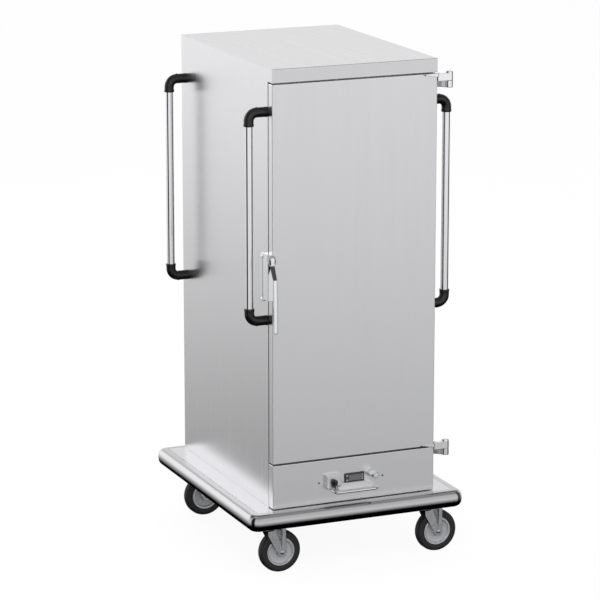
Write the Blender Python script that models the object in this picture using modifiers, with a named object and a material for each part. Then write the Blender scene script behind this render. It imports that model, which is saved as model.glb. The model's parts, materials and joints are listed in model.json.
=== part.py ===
"""Mobile proofing cabinet: a heated stainless cabinet on a bumper trolley with four swivel casters.

Metres, +Z up. +X is the cabinet's right, -Y its front (the door side). The origin lies on the floor,
under the middle of the whole cabinet.
"""
from math import cos, pi, radians, sin

import bmesh
import bpy
from mathutils import Matrix, Vector

# ---- driving dimensions ---------------------------------------------------------------------
CLEAR = 0.0003                  # gap between pieces that touch

CABINET_WIDTH = 0.650
CABINET_DEPTH = 0.896           # door face to back
CABINET_HEIGHT = 1.632          # above the deck
PANEL_HEIGHT = 0.169            # control panel and climate compartment
CAP_HEIGHT = 0.051              # fascia above the door
SKIN = 0.0015                   # outer sheet
SHEET = 0.0012                  # door and liner sheet
WALL = 0.045                    # foam between outer sheet and liner
LAND = 0.040                    # seat for the gasket above and below the chamber mouth
REAR_HANDLE_INSET = 0.041       # rear handles' axis from the back

SIDE_OVERHANG = 0.107           # deck beyond the cabinet
FRONT_OVERHANG = 0.058
BACK_OVERHANG = 0.046
BASE_THICKNESS = 0.063
RIM_WIDTH = 0.040
RIM_CORNER = 0.042
RIM_EDGE = 0.022                # rounding of the rim's top and bottom edges
DECK_SHEET = 0.002

CASTER_INSET_X = 0.112          # swivel axis from the base's side
CASTER_INSET_Y = 0.120          # swivel axis from the base's front or back
BEAM_WIDTH = 0.112
BEAM_SHEET = 0.003
PLATE_LENGTH = 0.105
PLATE_WIDTH = 0.090
PLATE_THICKNESS = 0.004
RACE_HEIGHT = 0.0107
CROWN_THICKNESS = 0.014
CROWN_GAP = 0.0057              # tyre to crown
RACE_RADIUS = 0.026
WHEEL_RADIUS = 0.080
WHEEL_WIDTH = 0.040
RIM_RADIUS = 0.054
TRAIL = 0.045
AXLE_RADIUS = 0.006
AXLE_GAP = 0.0005
FORK_SHEET = 0.0035
FORK_GAP = 0.003                # wheel to fork leg
FORK_HEEL = 0.010               # leg's back edge behind the swivel axis
FORK_TOE = 0.016                # yoke's front edge ahead of the axle
FORK_EYE = 0.017                # round end of the leg about the axle
FORK_SHOULDER = 0.068           # where the leg's back edge starts to slant, above the axle
CROWN_LIP = 0.007               # crown beyond the race
CROWN_SKIRT = 0.006             # crown below the yoke
AXLE_STUB = 0.006               # axle beyond the fork
HUB_RADIUS = 0.018
WEB_RECESS = 0.010
TREAD_RECESS = 0.003            # wheel rim inside the tyre's side

DOOR_THICKNESS = 0.034
DOOR_GAP_TOP = 0.004
DOOR_GAP_BOTTOM = 0.003
GASKET_THICKNESS = 0.0064
GASKET_WIDTH = 0.020
GASKET_INSET = 0.006
PIVOT_OUT = 0.053               # hinge axis beyond the cabinet's side
PIVOT_BACK = 0.011              # hinge axis behind the door face
KNUCKLE_RADIUS = 0.014
PIN_RADIUS = 0.005
PIN_GAP = 0.0003
LEAF_HEIGHT = 0.034
BRACKET_HEIGHT = 0.026
STRAP_LENGTH = 0.060
STRAP_HEIGHT = 0.014
TOP_STRAP_DROP = 0.015          # top strap's underside below the door's top edge
BOTTOM_STRAP_DROP = 0.006       # bottom strap's underside below the door's bottom edge
HINGE_FOOT = (0.004, 0.046)     # bracket's foot, from and to, behind the chamber's mouth
HINGE_FOOT_SHEET = 0.012
BARREL_CAP = 0.006              # barrel above the leaf's bar
PIN_INSET = 0.004               # pin's lower end inside the bracket
BOTTOM_HINGE_DROP = 0.042       # bracket underside below the door's bottom edge
TOP_HINGE_DROP = 0.056          # bracket underside below the door's top edge

LATCH_LOW = 0.790               # above the deck
LATCH_HIGH = 0.965
LATCH_WIDTH = 0.022
LEVER_PIVOT_HEIGHT = 0.948
LEVER_PIVOT_OUT = 0.021         # lever axis in front of the door face
LEVER_HUB = 0.010
LEVER_PIN = 0.004
LEVER_LENGTH = 0.268
LEVER_NECK_TOP = 0.024          # below the lever's axis
LEVER_NECK_LOW = 0.073
GRIP_OUT = 0.037                # grip's face in front of the lever's axis
GRIP_THICKNESS = 0.010
LATCH_FRONT = 0.010             # latch body in front of the door
LATCH_CHEEK = 0.0025
CHEEK_REACH = 0.012             # cheeks in front of the lever's axis
CHEEK_DROP = 0.018              # cheeks below the lever's axis
LEVER_GAP = 0.0005
KEEPER_DEPTH = 0.054
KEEPER_SETBACK = 0.006          # behind the chamber's mouth
KEEPER_SHEET = 0.003
KEEPER_LOW_STEP = 0.010         # keeper's ends below those of the latch body
KEEPER_HIGH_STEP = 0.015
KEEPER_LUG = (0.020, 0.018, 0.012)
ROLLER_OUT = 0.012              # roller's axis from the cabinet's side
ROLLER_RADIUS = 0.0055

HANDLE_DROP = 0.161             # upper arm's axis below the top
HANDLE_SPAN = 0.766             # from arm to arm
HANDLE_REACH = 0.066            # tube axis from the cabinet's side
TUBE_RADIUS = 0.015
ELBOW_RADIUS = 0.019
ELBOW_BEND = 0.030
ELBOW_SOCKET = 0.049            # arm axis to socket mouth

RACK_LEVELS = 12
RACK_SETBACK = 0.0773           # racks behind the chamber's mouth
RACK_BACK_GAP = 0.030
RACK_HEAD_GAP = 0.030
LEDGE_WIDTH = 0.025
LEDGE_SHEET = 0.002

FAN_HUB_HEIGHT = 0.062          # motor's top above the deck
FAN_SETBACK = 0.190             # fan axis in front of the cabinet's back
MOTOR_RADIUS = 0.045
MOTOR_SHAFT = 0.004
SHAFT_LENGTH = 0.060
FAN_BLADES = 10
FAN_HEIGHT = 0.034
BLADE = ((0.014, -9), (0.072, 6), (0.074, 10), (0.014, 9))      # radius and degrees of its corners
HEATER_PLACE = 0.120            # heater in front of the fan axis
HEATER_HALF = 0.125
HEATER_LOW = 0.030              # above the deck
HEATER_HIGH = 0.120
HEATER_LOOPS = 5
HEATER_BEND = 0.018
HEATER_ROD = 0.0045
PAN_SETBACK = 0.110             # water pan behind the chamber's mouth
PAN_HALF = 0.160
PAN_DEPTH = 0.260
PAN_HEIGHT = 0.065

GUARD_REACH = 0.067
GUARD_ROD = 0.005
GUARD_HEIGHT = 0.0555
GUARD_LEFT = -0.100
GUARD_RIGHT = 0.070
GUARD_SHELF = 0.038
SWITCH_X = -0.0895
SWITCH_Z = 0.0845
SWITCH_BOX = (0.057, 0.020, 0.048)
SWITCH_SHAFT = 0.0035
CONTROLLER_Z = 0.0895
CONTROLLER_FACE = (0.078, 0.035)
CONTROLLER_CASE = (0.071, 0.029)
CONTROLLER_BEZEL = 0.006
KEY_SIZE = 0.0065
KEY_TRAVEL = 0.0008
KEY_INSET = 0.0085              # keys' centre from the controller's left edge
KEY_SPREAD = 0.0085             # keys' centres above and below its middle
KEY_POCKET = 0.004              # depth of the pockets behind the keys
KEY_GAP = 0.0004
CASE_DEPTH = 0.032              # controller's case behind the panel's face
KNOB_RADIUS = 0.012
KNOB_DIAL = 0.010
KNOB_REACH = 0.020              # grip's front ahead of the switch box
KNOB_GRIP = (0.0055, -0.021, 0.010)     # half width, lower end and upper end about the axis
SWITCH_DROP = 0.022             # box's underside below the knob's axis
VENT_SHAFT = 0.004
VENT_KNOB_X = 0.070
VENT_KNOB_Z = 0.097
VENT_KNOB_RADIUS = 0.0125
VENT_KNOB_LENGTH = 0.044
SHAFT_GAP = 0.0005

# ---- places worked out from them ------------------------------------------------------------
HALF_WIDTH = CABINET_WIDTH / 2
OVERALL_DEPTH = GUARD_REACH + CABINET_DEPTH + BACK_OVERHANG
FACE = GUARD_REACH - OVERALL_DEPTH / 2
BACK = FACE + CABINET_DEPTH
CASTER_HEIGHT = (2 * WHEEL_RADIUS + CROWN_GAP + CROWN_THICKNESS + RACE_HEIGHT + PLATE_THICKNESS
                 + 2 * CLEAR)
DECK = CASTER_HEIGHT + BASE_THICKNESS
TOP = DECK + CABINET_HEIGHT
BODY = FACE + DOOR_THICKNESS + GASKET_THICKNESS + 2 * CLEAR
BASE_HALF = HALF_WIDTH + SIDE_OVERHANG
BASE_FRONT = FACE - FRONT_OVERHANG
BASE_BACK = BACK + BACK_OVERHANG
RIM_HALF = BASE_HALF - RIM_WIDTH
RIM_FRONT = BASE_FRONT + RIM_WIDTH
RIM_BACK = BASE_BACK - RIM_WIDTH
CASTER_X = BASE_HALF - CASTER_INSET_X
CASTER_FRONT = BASE_FRONT + CASTER_INSET_Y
CASTER_BACK = BASE_BACK - CASTER_INSET_Y
PANEL_TOP = DECK + PANEL_HEIGHT
CAP_BOTTOM = TOP - CAP_HEIGHT
DOOR_LOW = PANEL_TOP + DOOR_GAP_BOTTOM
DOOR_HIGH = CAP_BOTTOM - DOOR_GAP_TOP
CHAMBER_HALF = HALF_WIDTH - SKIN - WALL - SHEET
CHAMBER_LOW = DOOR_LOW + LAND
CHAMBER_HIGH = DOOR_HIGH - LAND
CHAMBER_BACK = BACK - SKIN - WALL - SHEET
LINER_HALF = HALF_WIDTH - SKIN - CLEAR
LINER_TOP = TOP - SKIN - CLEAR
PIVOT_X = HALF_WIDTH + PIVOT_OUT
PIVOT_Y = FACE + PIVOT_BACK
LEVER_PIVOT = Vector((-HALF_WIDTH - LATCH_WIDTH / 2, FACE - LEVER_PIVOT_OUT, DECK + LEVER_PIVOT_HEIGHT))
FAN = Vector((0.0, BACK - FAN_SETBACK, DECK))

STEEL = ("satin stainless", (0.62, 0.62, 0.63), 0.32, 1.0)
POLISHED = ("polished stainless", (0.80, 0.80, 0.81), 0.10, 1.0)
CHROME = ("chrome", (0.86, 0.86, 0.87), 0.06, 1.0)
GALVANISED = ("galvanised steel", (0.52, 0.53, 0.54), 0.38, 1.0)
FOAM = ("rigid foam", (0.82, 0.74, 0.52), 0.9, 0.0)
BLACK_PLASTIC = ("black plastic", (0.03, 0.03, 0.032), 0.38, 0.0)
GREY_PLASTIC = ("grey plastic", (0.17, 0.17, 0.175), 0.4, 0.0)
HUB_PLASTIC = ("hub plastic", (0.34, 0.34, 0.345), 0.45, 0.0)
RUBBER = ("grey-black rubber", (0.035, 0.035, 0.037), 0.7, 0.0)
SEAL = ("silicone seal", (0.03, 0.03, 0.03), 0.6, 0.0)

# ---- scene, bodies and solids ---------------------------------------------------------------
for old in list(bpy.data.objects):
    bpy.data.objects.remove(old, do_unlink=True)

PARTS = bpy.data.collections.new("proofing_cabinet")
CUTTERS = bpy.data.collections.new("cutters")
for collection in (PARTS, CUTTERS):
    bpy.context.scene.collection.children.link(collection)


class Body:
    """A rigid group: its empty stands on the joint's axis, and its pieces hang from it."""

    def __init__(self, name, origin, parent=None):
        self.origin = Vector(origin)
        self.empty = bpy.data.objects.new("axis_" + name, None)
        self.empty.empty_display_size = 0.03
        self.empty.parent = parent.empty if parent else None
        self.empty.location = self.origin - (parent.origin if parent else Vector())
        PARTS.objects.link(self.empty)


def material(finish):
    name, colour, roughness, metallic = finish
    made = bpy.data.materials.get(name)
    if made is None:
        made = bpy.data.materials.new(name)
        made.use_nodes = True
        shader = made.node_tree.nodes["Principled BSDF"]
        shader.inputs["Base Color"].default_value = (*colour, 1.0)
        shader.inputs["Roughness"].default_value = roughness
        shader.inputs["Metallic"].default_value = metallic
    return made


def add(name, data, body, finish, place=(0, 0, 0), turn=(0, 0, 0)):
    """Hang the data from its body; a piece with no finish is a cutter or a shape to be joined."""
    piece = bpy.data.objects.new(name, data)
    piece.parent = body.empty
    piece.location = Vector(place)
    piece.rotation_euler = turn
    if finish is None:
        piece.hide_render = True
        piece.display_type = "WIRE"
        CUTTERS.objects.link(piece)
    else:
        data.materials.append(material(finish))
        PARTS.objects.link(piece)
    return piece


def mesh_from(bm, name, smooth=False):
    mesh = bpy.data.meshes.new(name)
    bm.to_mesh(mesh)
    bm.free()
    if smooth:
        mesh.shade_smooth()
        mesh.set_sharp_from_angle(angle=radians(35))
    return mesh


def box(name, low, high, body, finish=None):
    low, high = Vector(low) - body.origin, Vector(high) - body.origin
    bm = bmesh.new()
    bmesh.ops.create_cube(bm, size=1.0, matrix=Matrix.LocRotScale((low + high) / 2, None, high - low))
    return add(name, mesh_from(bm, name), body, finish)


AXES = {"x": Matrix.Rotation(pi / 2, 4, "Y"), "y": Matrix.Rotation(pi / 2, 4, "X"), "z": Matrix()}


def rod(name, centre, radius, length, axis, body, finish=None, sides=24):
    bm = bmesh.new()
    place = Matrix.Translation(Vector(centre) - body.origin) @ AXES[axis]
    bmesh.ops.create_cone(bm, cap_ends=True, segments=sides, radius1=radius, radius2=radius,
                          depth=length, matrix=place)
    return add(name, mesh_from(bm, name, smooth=True), body, finish)


TURNS = {"x": (pi / 2, 0, pi / 2), "y": (pi / 2, 0, 0), "z": (0, 0, 0)}


def outline(name, points, axis, low, high, body, finish=None, holes=()):
    """Extrude a flat outline from low to high along an axis.

    The points are (y, z) along x, (x, z) along y and (x, y) along z.
    """
    curve = bpy.data.curves.new(name, "CURVE")
    curve.dimensions = "2D"
    curve.fill_mode = "BOTH"
    curve.extrude = (high - low) / 2
    flat = {"x": (1, 2), "y": (0, 2), "z": (0, 1)}[axis]
    for loop in (points, *holes):
        spline = curve.splines.new("POLY")
        spline.points.add(len(loop) - 1)
        spline.use_cyclic_u = True
        for slot, (u, v) in zip(spline.points, loop):
            slot.co = (u - body.origin[flat[0]], v - body.origin[flat[1]], 0, 1)
    along = "xyz".index(axis)
    place = Vector()
    place[along] = (low + high) / 2 - body.origin[along]
    loose = add(name, curve, body, None, place, TURNS[axis])
    return welded(loose, body, finish)


def welded(loose, body, finish):
    """Turn a curve object into a closed mesh object in the same place."""
    bpy.context.view_layer.update()
    graph = bpy.context.evaluated_depsgraph_get()
    mesh = bpy.data.meshes.new_from_object(loose.evaluated_get(graph))
    bm = bmesh.new()
    bm.from_mesh(mesh)
    bmesh.ops.remove_doubles(bm, verts=bm.verts, dist=0.00001)
    bm.transform(Matrix.Translation(-body.origin) @ loose.matrix_world)
    name, curve = loose.name, loose.data
    bpy.data.objects.remove(loose)
    bpy.data.curves.remove(curve)
    bpy.data.meshes.remove(mesh)
    return add(name, mesh_from(bm, name, smooth=True), body, finish)


def tube(name, points, radius, body, finish=None, fineness=2):
    """A round bar along the points, with closed ends."""
    curve = bpy.data.curves.new(name, "CURVE")
    curve.dimensions = "3D"
    curve.bevel_depth = radius
    curve.bevel_resolution = fineness
    curve.use_fill_caps = True
    spline = curve.splines.new("POLY")
    spline.points.add(len(points) - 1)
    for slot, point in zip(spline.points, points):
        slot.co = (*(Vector(point) - body.origin), 1)
    return welded(add(name, curve, body, None), body, finish)


def turned(name, profile, centre, axis, body, finish=None, steps=32):
    """Revolve a closed profile of (radius, height) points; heights run along the axis."""
    bm = bmesh.new()
    corners = [bm.verts.new((radius, 0, height)) for radius, height in profile]
    for first, second in zip(corners, corners[1:] + corners[:1]):
        bm.edges.new((first, second))
    piece = add(name, mesh_from(bm, name), body, finish, Vector(centre) - body.origin, AXES[axis].to_euler())
    screw = piece.modifiers.new("turn", "SCREW")
    screw.steps = screw.render_steps = steps
    screw.use_merge_vertices = True
    screw.merge_threshold = 0.00001
    screw.use_smooth_shade = False
    return piece


def boolean(target, operation, *helpers):
    for helper in helpers:
        change = target.modifiers.new(helper.name, "BOOLEAN")
        change.operation = operation
        change.solver = "EXACT"
        change.object = helper
    return target


def join(target, *helpers):
    return boolean(target, "UNION", *helpers)


def cut(target, *helpers):
    return boolean(target, "DIFFERENCE", *helpers)


def open_pan(name, low, high, open_side, sheet, body, finish):
    """A folded sheet pan: a box with one side left open, of the given sheet thickness."""
    piece = box(name, low, high, body, finish)
    bm = bmesh.new()
    bm.from_mesh(piece.data)
    bm.faces.ensure_lookup_table()
    gone = [face for face in bm.faces if face.normal.dot(Vector(open_side)) > 0.9]
    bmesh.ops.delete(bm, geom=gone, context="FACES")
    bm.to_mesh(piece.data)
    bm.free()
    wall = piece.modifiers.new("sheet", "SOLIDIFY")
    wall.thickness = sheet
    wall.offset = -1
    wall.use_even_offset = True
    return piece


def arc(centre, radius, start, end, steps):
    """Points of an arc from start to end, in degrees."""
    angles = [radians(start + (end - start) * i / steps) for i in range(steps + 1)]
    return [(centre[0] + radius * cos(a), centre[1] + radius * sin(a)) for a in angles]


ROOT = Body("cabinet", (0, 0, 0))
DOOR = Body("door", (PIVOT_X, PIVOT_Y, DECK), ROOT)
LEVER = Body("latch_lever", LEVER_PIVOT, DOOR)


# ---- trolley base ---------------------------------------------------------------------------
def build_base():
    rim = box("bumper_rim", (-BASE_HALF, BASE_FRONT, CASTER_HEIGHT), (BASE_HALF, BASE_BACK, DECK),
              ROOT, POLISHED)
    bm = bmesh.new()
    bm.from_mesh(rim.data)
    upright = [edge for edge in bm.edges if abs(edge.verts[0].co.z - edge.verts[1].co.z) > 0.01]
    bmesh.ops.bevel(bm, geom=upright, offset=RIM_CORNER, segments=6, profile=0.5, affect="EDGES")
    level = [edge for edge in bm.edges if abs(edge.verts[0].co.z - edge.verts[1].co.z) < 0.001]
    bmesh.ops.bevel(bm, geom=level, offset=RIM_EDGE, segments=5, profile=0.5, affect="EDGES")
    bm.to_mesh(rim.data)
    bm.free()
    rim.data.shade_smooth()
    rim.data.set_sharp_from_angle(angle=radians(35))
    cut(rim, box("rim_hollow", (-RIM_HALF, RIM_FRONT, CASTER_HEIGHT - 0.01),
                 (RIM_HALF, RIM_BACK, DECK + 0.01), ROOT))
    deck_low = DECK - DECK_SHEET
    inner = RIM_HALF - CLEAR
    box("deck_plate", (-inner, RIM_FRONT + CLEAR, deck_low), (inner, RIM_BACK - CLEAR, DECK), ROOT, STEEL)
    beam_top = deck_low - CLEAR
    half = BEAM_WIDTH / 2
    beams = {"base_frame": ((-inner, CASTER_FRONT - half), (inner, CASTER_FRONT + half)),
             "back_beam": ((-inner, CASTER_BACK - half), (inner, CASTER_BACK + half)),
             "left_beam": ((-CASTER_X - half, CASTER_FRONT), (half - CASTER_X, CASTER_BACK)),
             "right_beam": ((CASTER_X - half, CASTER_FRONT), (CASTER_X + half, CASTER_BACK))}
    frame = None
    for name, (low, high) in beams.items():
        beam = box(name, (*low, CASTER_HEIGHT), (*high, beam_top), ROOT, None if frame else GALVANISED)
        frame = join(frame, beam) if frame else beam
    for name, (low, high) in beams.items():
        floor = (low[0] + BEAM_SHEET, low[1] + BEAM_SHEET, CASTER_HEIGHT + BEAM_SHEET)
        cut(frame, box(name + "_channel", floor, (high[0] - BEAM_SHEET, high[1] - BEAM_SHEET, DECK), ROOT))


def build_caster(corner, x, y):
    plate_top = CASTER_HEIGHT - CLEAR
    race_low = plate_top - PLATE_THICKNESS - RACE_HEIGHT
    half_x, half_y = PLATE_LENGTH / 2, PLATE_WIDTH / 2
    plate = box("caster_plate_" + corner, (x - half_x, y - half_y, plate_top - PLATE_THICKNESS),
                (x + half_x, y + half_y, plate_top), ROOT, GALVANISED)
    race_high = plate_top - PLATE_THICKNESS / 2
    join(plate, rod("race_" + corner, (x, y, (race_low + race_high) / 2), RACE_RADIUS,
                    race_high - race_low, "z", ROOT))

    swivel = Body("caster_swivel_" + corner, (x, y, race_low), ROOT)
    axle = Vector((x + TRAIL, y, WHEEL_RADIUS))
    crown_top = race_low - CLEAR
    crown_low = crown_top - CROWN_THICKNESS
    inner = WHEEL_WIDTH / 2 + FORK_GAP
    outer = inner + FORK_SHEET
    toe = axle.x + FORK_TOE
    heel = x - FORK_HEEL
    leg = [(heel, crown_top), (heel, WHEEL_RADIUS + FORK_SHOULDER)]
    leg += arc((axle.x, axle.z), FORK_EYE, 205, 360, 8)
    leg += [(axle.x + FORK_EYE, crown_top)]
    fork = outline("caster_fork_" + corner, leg, "y", y - outer, y - inner, swivel, GALVANISED)
    join(fork,
         outline("far_leg_" + corner, leg, "y", y + inner, y + outer, swivel),
         box("yoke_" + corner, (heel, y - outer, crown_low + CROWN_SKIRT),
             (toe, y + outer, crown_top), swivel),
         rod("crown_" + corner, (x, y, (crown_low + crown_top) / 2), RACE_RADIUS + CROWN_LIP,
             crown_top - crown_low, "z", swivel),
         rod("axle_" + corner, axle, AXLE_RADIUS, 2 * (outer + AXLE_STUB), "y", swivel, sides=16))

    spin = Body("caster_spin_" + corner, axle, swivel)
    half = WHEEL_WIDTH / 2
    bore = AXLE_RADIUS + AXLE_GAP
    hub = [(HUB_RADIUS, half), (HUB_RADIUS, half - 0.004), (RIM_RADIUS - 0.008, half - WEB_RECESS),
           (RIM_RADIUS - 0.006, half - TREAD_RECESS), (RIM_RADIUS, half - TREAD_RECESS)]
    profile = hub + [(r, -h) for r, h in reversed(hub)] + [(bore, -half), (bore, half)]
    turned("caster_wheel_" + corner, profile, axle, "y", spin, HUB_PLASTIC)
    seat = RIM_RADIUS + CLEAR
    shoulder = [(seat, half - 0.001), (WHEEL_RADIUS - 0.010, half), (WHEEL_RADIUS - 0.003, half - 0.004),
                (WHEEL_RADIUS, half - 0.011)]
    turned("caster_tyre_" + corner, shoulder + [(r, -h) for r, h in reversed(shoulder)], axle, "y",
           spin, RUBBER)


# ---- cabinet shell --------------------------------------------------------------------------
def build_shell():
    low, high = DECK + CLEAR, TOP - SKIN - CLEAR
    ear = FACE + SKIN + CLEAR
    within = HALF_WIDTH - SKIN
    wrap = [(-HALF_WIDTH, ear), (-within, ear), (-within, BACK - SKIN), (within, BACK - SKIN),
            (within, ear), (HALF_WIDTH, ear), (HALF_WIDTH, BACK), (-HALF_WIDTH, BACK)]
    casing = outline("outer_casing", wrap, "z", low, high, ROOT, STEEL)
    cut(casing, box("door_recess", (-HALF_WIDTH - 0.01, ear - 0.01, low - 0.01),
                    (HALF_WIDTH + 0.01, BODY, CAP_BOTTOM), ROOT))
    hood = [(FACE, CAP_BOTTOM), (FACE + SKIN, CAP_BOTTOM), (FACE + SKIN, TOP - SKIN), (BACK, TOP - SKIN),
            (BACK, TOP), (FACE, TOP)]
    cover = outline("top_cover", hood, "x", -HALF_WIDTH, HALF_WIDTH, ROOT, STEEL)
    join(cover, box("fascia_return", (-LINER_HALF, FACE + SKIN / 2, CAP_BOTTOM + CLEAR),
                    (LINER_HALF, BODY - CLEAR, CAP_BOTTOM + CLEAR + SKIN), ROOT))

    mouth = BODY + SHEET
    foam = box("wall_insulation", (-LINER_HALF, mouth + CLEAR, PANEL_TOP),
               (LINER_HALF, BACK - SKIN - CLEAR, LINER_TOP), ROOT, FOAM)
    grow = SHEET + CLEAR
    cut(foam, box("foam_hollow", (-CHAMBER_HALF - grow, mouth - 0.02, CHAMBER_LOW - grow),
                  (CHAMBER_HALF + grow, CHAMBER_BACK + grow, CHAMBER_HIGH + grow), ROOT))
    liner = box("inner_liner", (-LINER_HALF, BODY, PANEL_TOP), (LINER_HALF, mouth, LINER_TOP), ROOT, STEEL)
    join(liner, box("liner_tub", (-CHAMBER_HALF - SHEET, BODY, CHAMBER_LOW - SHEET),
                    (CHAMBER_HALF + SHEET, CHAMBER_BACK + SHEET, CHAMBER_HIGH + SHEET), ROOT))
    cut(liner, box("liner_hollow", (-CHAMBER_HALF, BODY - 0.02, CHAMBER_LOW),
                   (CHAMBER_HALF, CHAMBER_BACK, CHAMBER_HIGH), ROOT))


def build_racks():
    foot, head = CHAMBER_LOW + CLEAR, CHAMBER_HIGH - RACK_HEAD_GAP
    pitch = (head - foot) / RACK_LEVELS
    front, back = BODY + RACK_SETBACK, CHAMBER_BACK - RACK_BACK_GAP
    for name, side in (("rack_left", -1), ("rack_right", 1)):
        wall = side * (CHAMBER_HALF - CLEAR)
        web = wall - side * LEDGE_SHEET
        tip = web - side * LEDGE_WIDTH
        rack = box(name, (min(wall, web), front, foot), (max(wall, web), back, head), ROOT, STEEL)
        ledge = foot + pitch / 2
        middle = (wall + web) / 2
        ledges = box(name + "_ledges", (min(middle, tip), front, ledge),
                     (max(middle, tip), back, ledge + LEDGE_SHEET), ROOT)
        repeat = ledges.modifiers.new("levels", "ARRAY")
        repeat.count = RACK_LEVELS
        repeat.use_relative_offset = False
        repeat.use_constant_offset = True
        repeat.constant_offset_displace = (0, 0, pitch)
        join(rack, ledges)


def build_climate_unit():
    motor_top = FAN.z + FAN_HUB_HEIGHT
    motor = rod("fan_motor", (FAN.x, FAN.y, (FAN.z + CLEAR + motor_top) / 2), MOTOR_RADIUS,
                motor_top - FAN.z - CLEAR, "z", ROOT, BLACK_PLASTIC)
    join(motor, rod("motor_shaft", (FAN.x, FAN.y, motor_top + SHAFT_LENGTH / 4), MOTOR_SHAFT, SHAFT_LENGTH,
                    "z", ROOT, sides=16))
    rotor_low = motor_top + 0.004
    rotor = Body("fan_rotor", (FAN.x, FAN.y, rotor_low), ROOT)
    wheel = []
    for blade in range(FAN_BLADES):
        turn = 360 / FAN_BLADES * blade
        for radius, lag in BLADE:
            angle = radians(turn + lag)
            wheel.append((FAN.x + radius * cos(angle), FAN.y + radius * sin(angle)))
    bore = arc((FAN.x, FAN.y), MOTOR_SHAFT + SHAFT_GAP, 0, 345, 23)
    outline("fan_rotor", wheel, "z", rotor_low, rotor_low + FAN_HEIGHT, rotor, GALVANISED, holes=(bore,))

    y = FAN.y - HEATER_PLACE
    foot = DECK + CLEAR
    run = 2 * HEATER_HALF / HEATER_LOOPS
    bends = [(-HEATER_HALF, y, foot)]
    for column in range(HEATER_LOOPS):
        x = -HEATER_HALF + run * column
        level = DECK + (HEATER_HIGH if column % 2 == 0 else HEATER_LOW)
        bends += [(x, y, level), (x + run, y, level)]
    bends.append((HEATER_HALF, y, foot))
    tube("heating_element", rounded(bends, HEATER_BEND, 4), HEATER_ROD, ROOT, CHROME)

    pan_front = BODY + PAN_SETBACK
    open_pan("water_pan", (-PAN_HALF, pan_front, DECK + CLEAR),
             (PAN_HALF, pan_front + PAN_DEPTH, DECK + PAN_HEIGHT), (0, 0, 1), SHEET, ROOT, STEEL)


def rounded(points, radius, steps):
    """The points of a bent bar: each inner corner is replaced by a circular bend."""
    points = [Vector(point) for point in points]
    path = [points[0]]
    for before, corner, after in zip(points, points[1:], points[2:]):
        into, out = (corner - before).normalized(), (after - corner).normalized()
        angle = into.angle(out)
        if angle < 0.01:
            continue
        reach = radius * sin(angle / 2) / cos(angle / 2)
        start = corner - into * reach
        side = (out - into * into.dot(out)).normalized()
        for i in range(steps + 1):
            turn = angle * i / steps
            path.append(start + into * radius * sin(turn) + side * radius * (1 - cos(turn)))
    path.append(points[-1])
    return path


# ---- door, hinges and latch -----------------------------------------------------------------
def build_door():
    back = FACE + DOOR_THICKNESS
    open_pan("door_skin", (-HALF_WIDTH, FACE, DOOR_LOW), (HALF_WIDTH, back, DOOR_HIGH), (0, 1, 0),
             SHEET, DOOR, STEEL)
    edge = SHEET + CLEAR
    box("door_insulation", (-HALF_WIDTH + edge, FACE + edge, DOOR_LOW + edge),
        (HALF_WIDTH - edge, back - edge, DOOR_HIGH - edge), DOOR, FOAM)
    box("door_liner", (-HALF_WIDTH + edge, back - SHEET, DOOR_LOW + edge),
        (HALF_WIDTH - edge, back, DOOR_HIGH - edge), DOOR, STEEL)
    loops = []
    for inset in (GASKET_INSET, GASKET_INSET + GASKET_WIDTH):
        x, low, high = HALF_WIDTH - inset, DOOR_LOW + inset, DOOR_HIGH - inset
        loops.append([(-x, low), (x, low), (x, high), (-x, high)])
    outline("door_gasket", loops[0], "y", back + CLEAR, back + CLEAR + GASKET_THICKNESS, DOOR, SEAL,
            holes=loops[1:])


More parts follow.
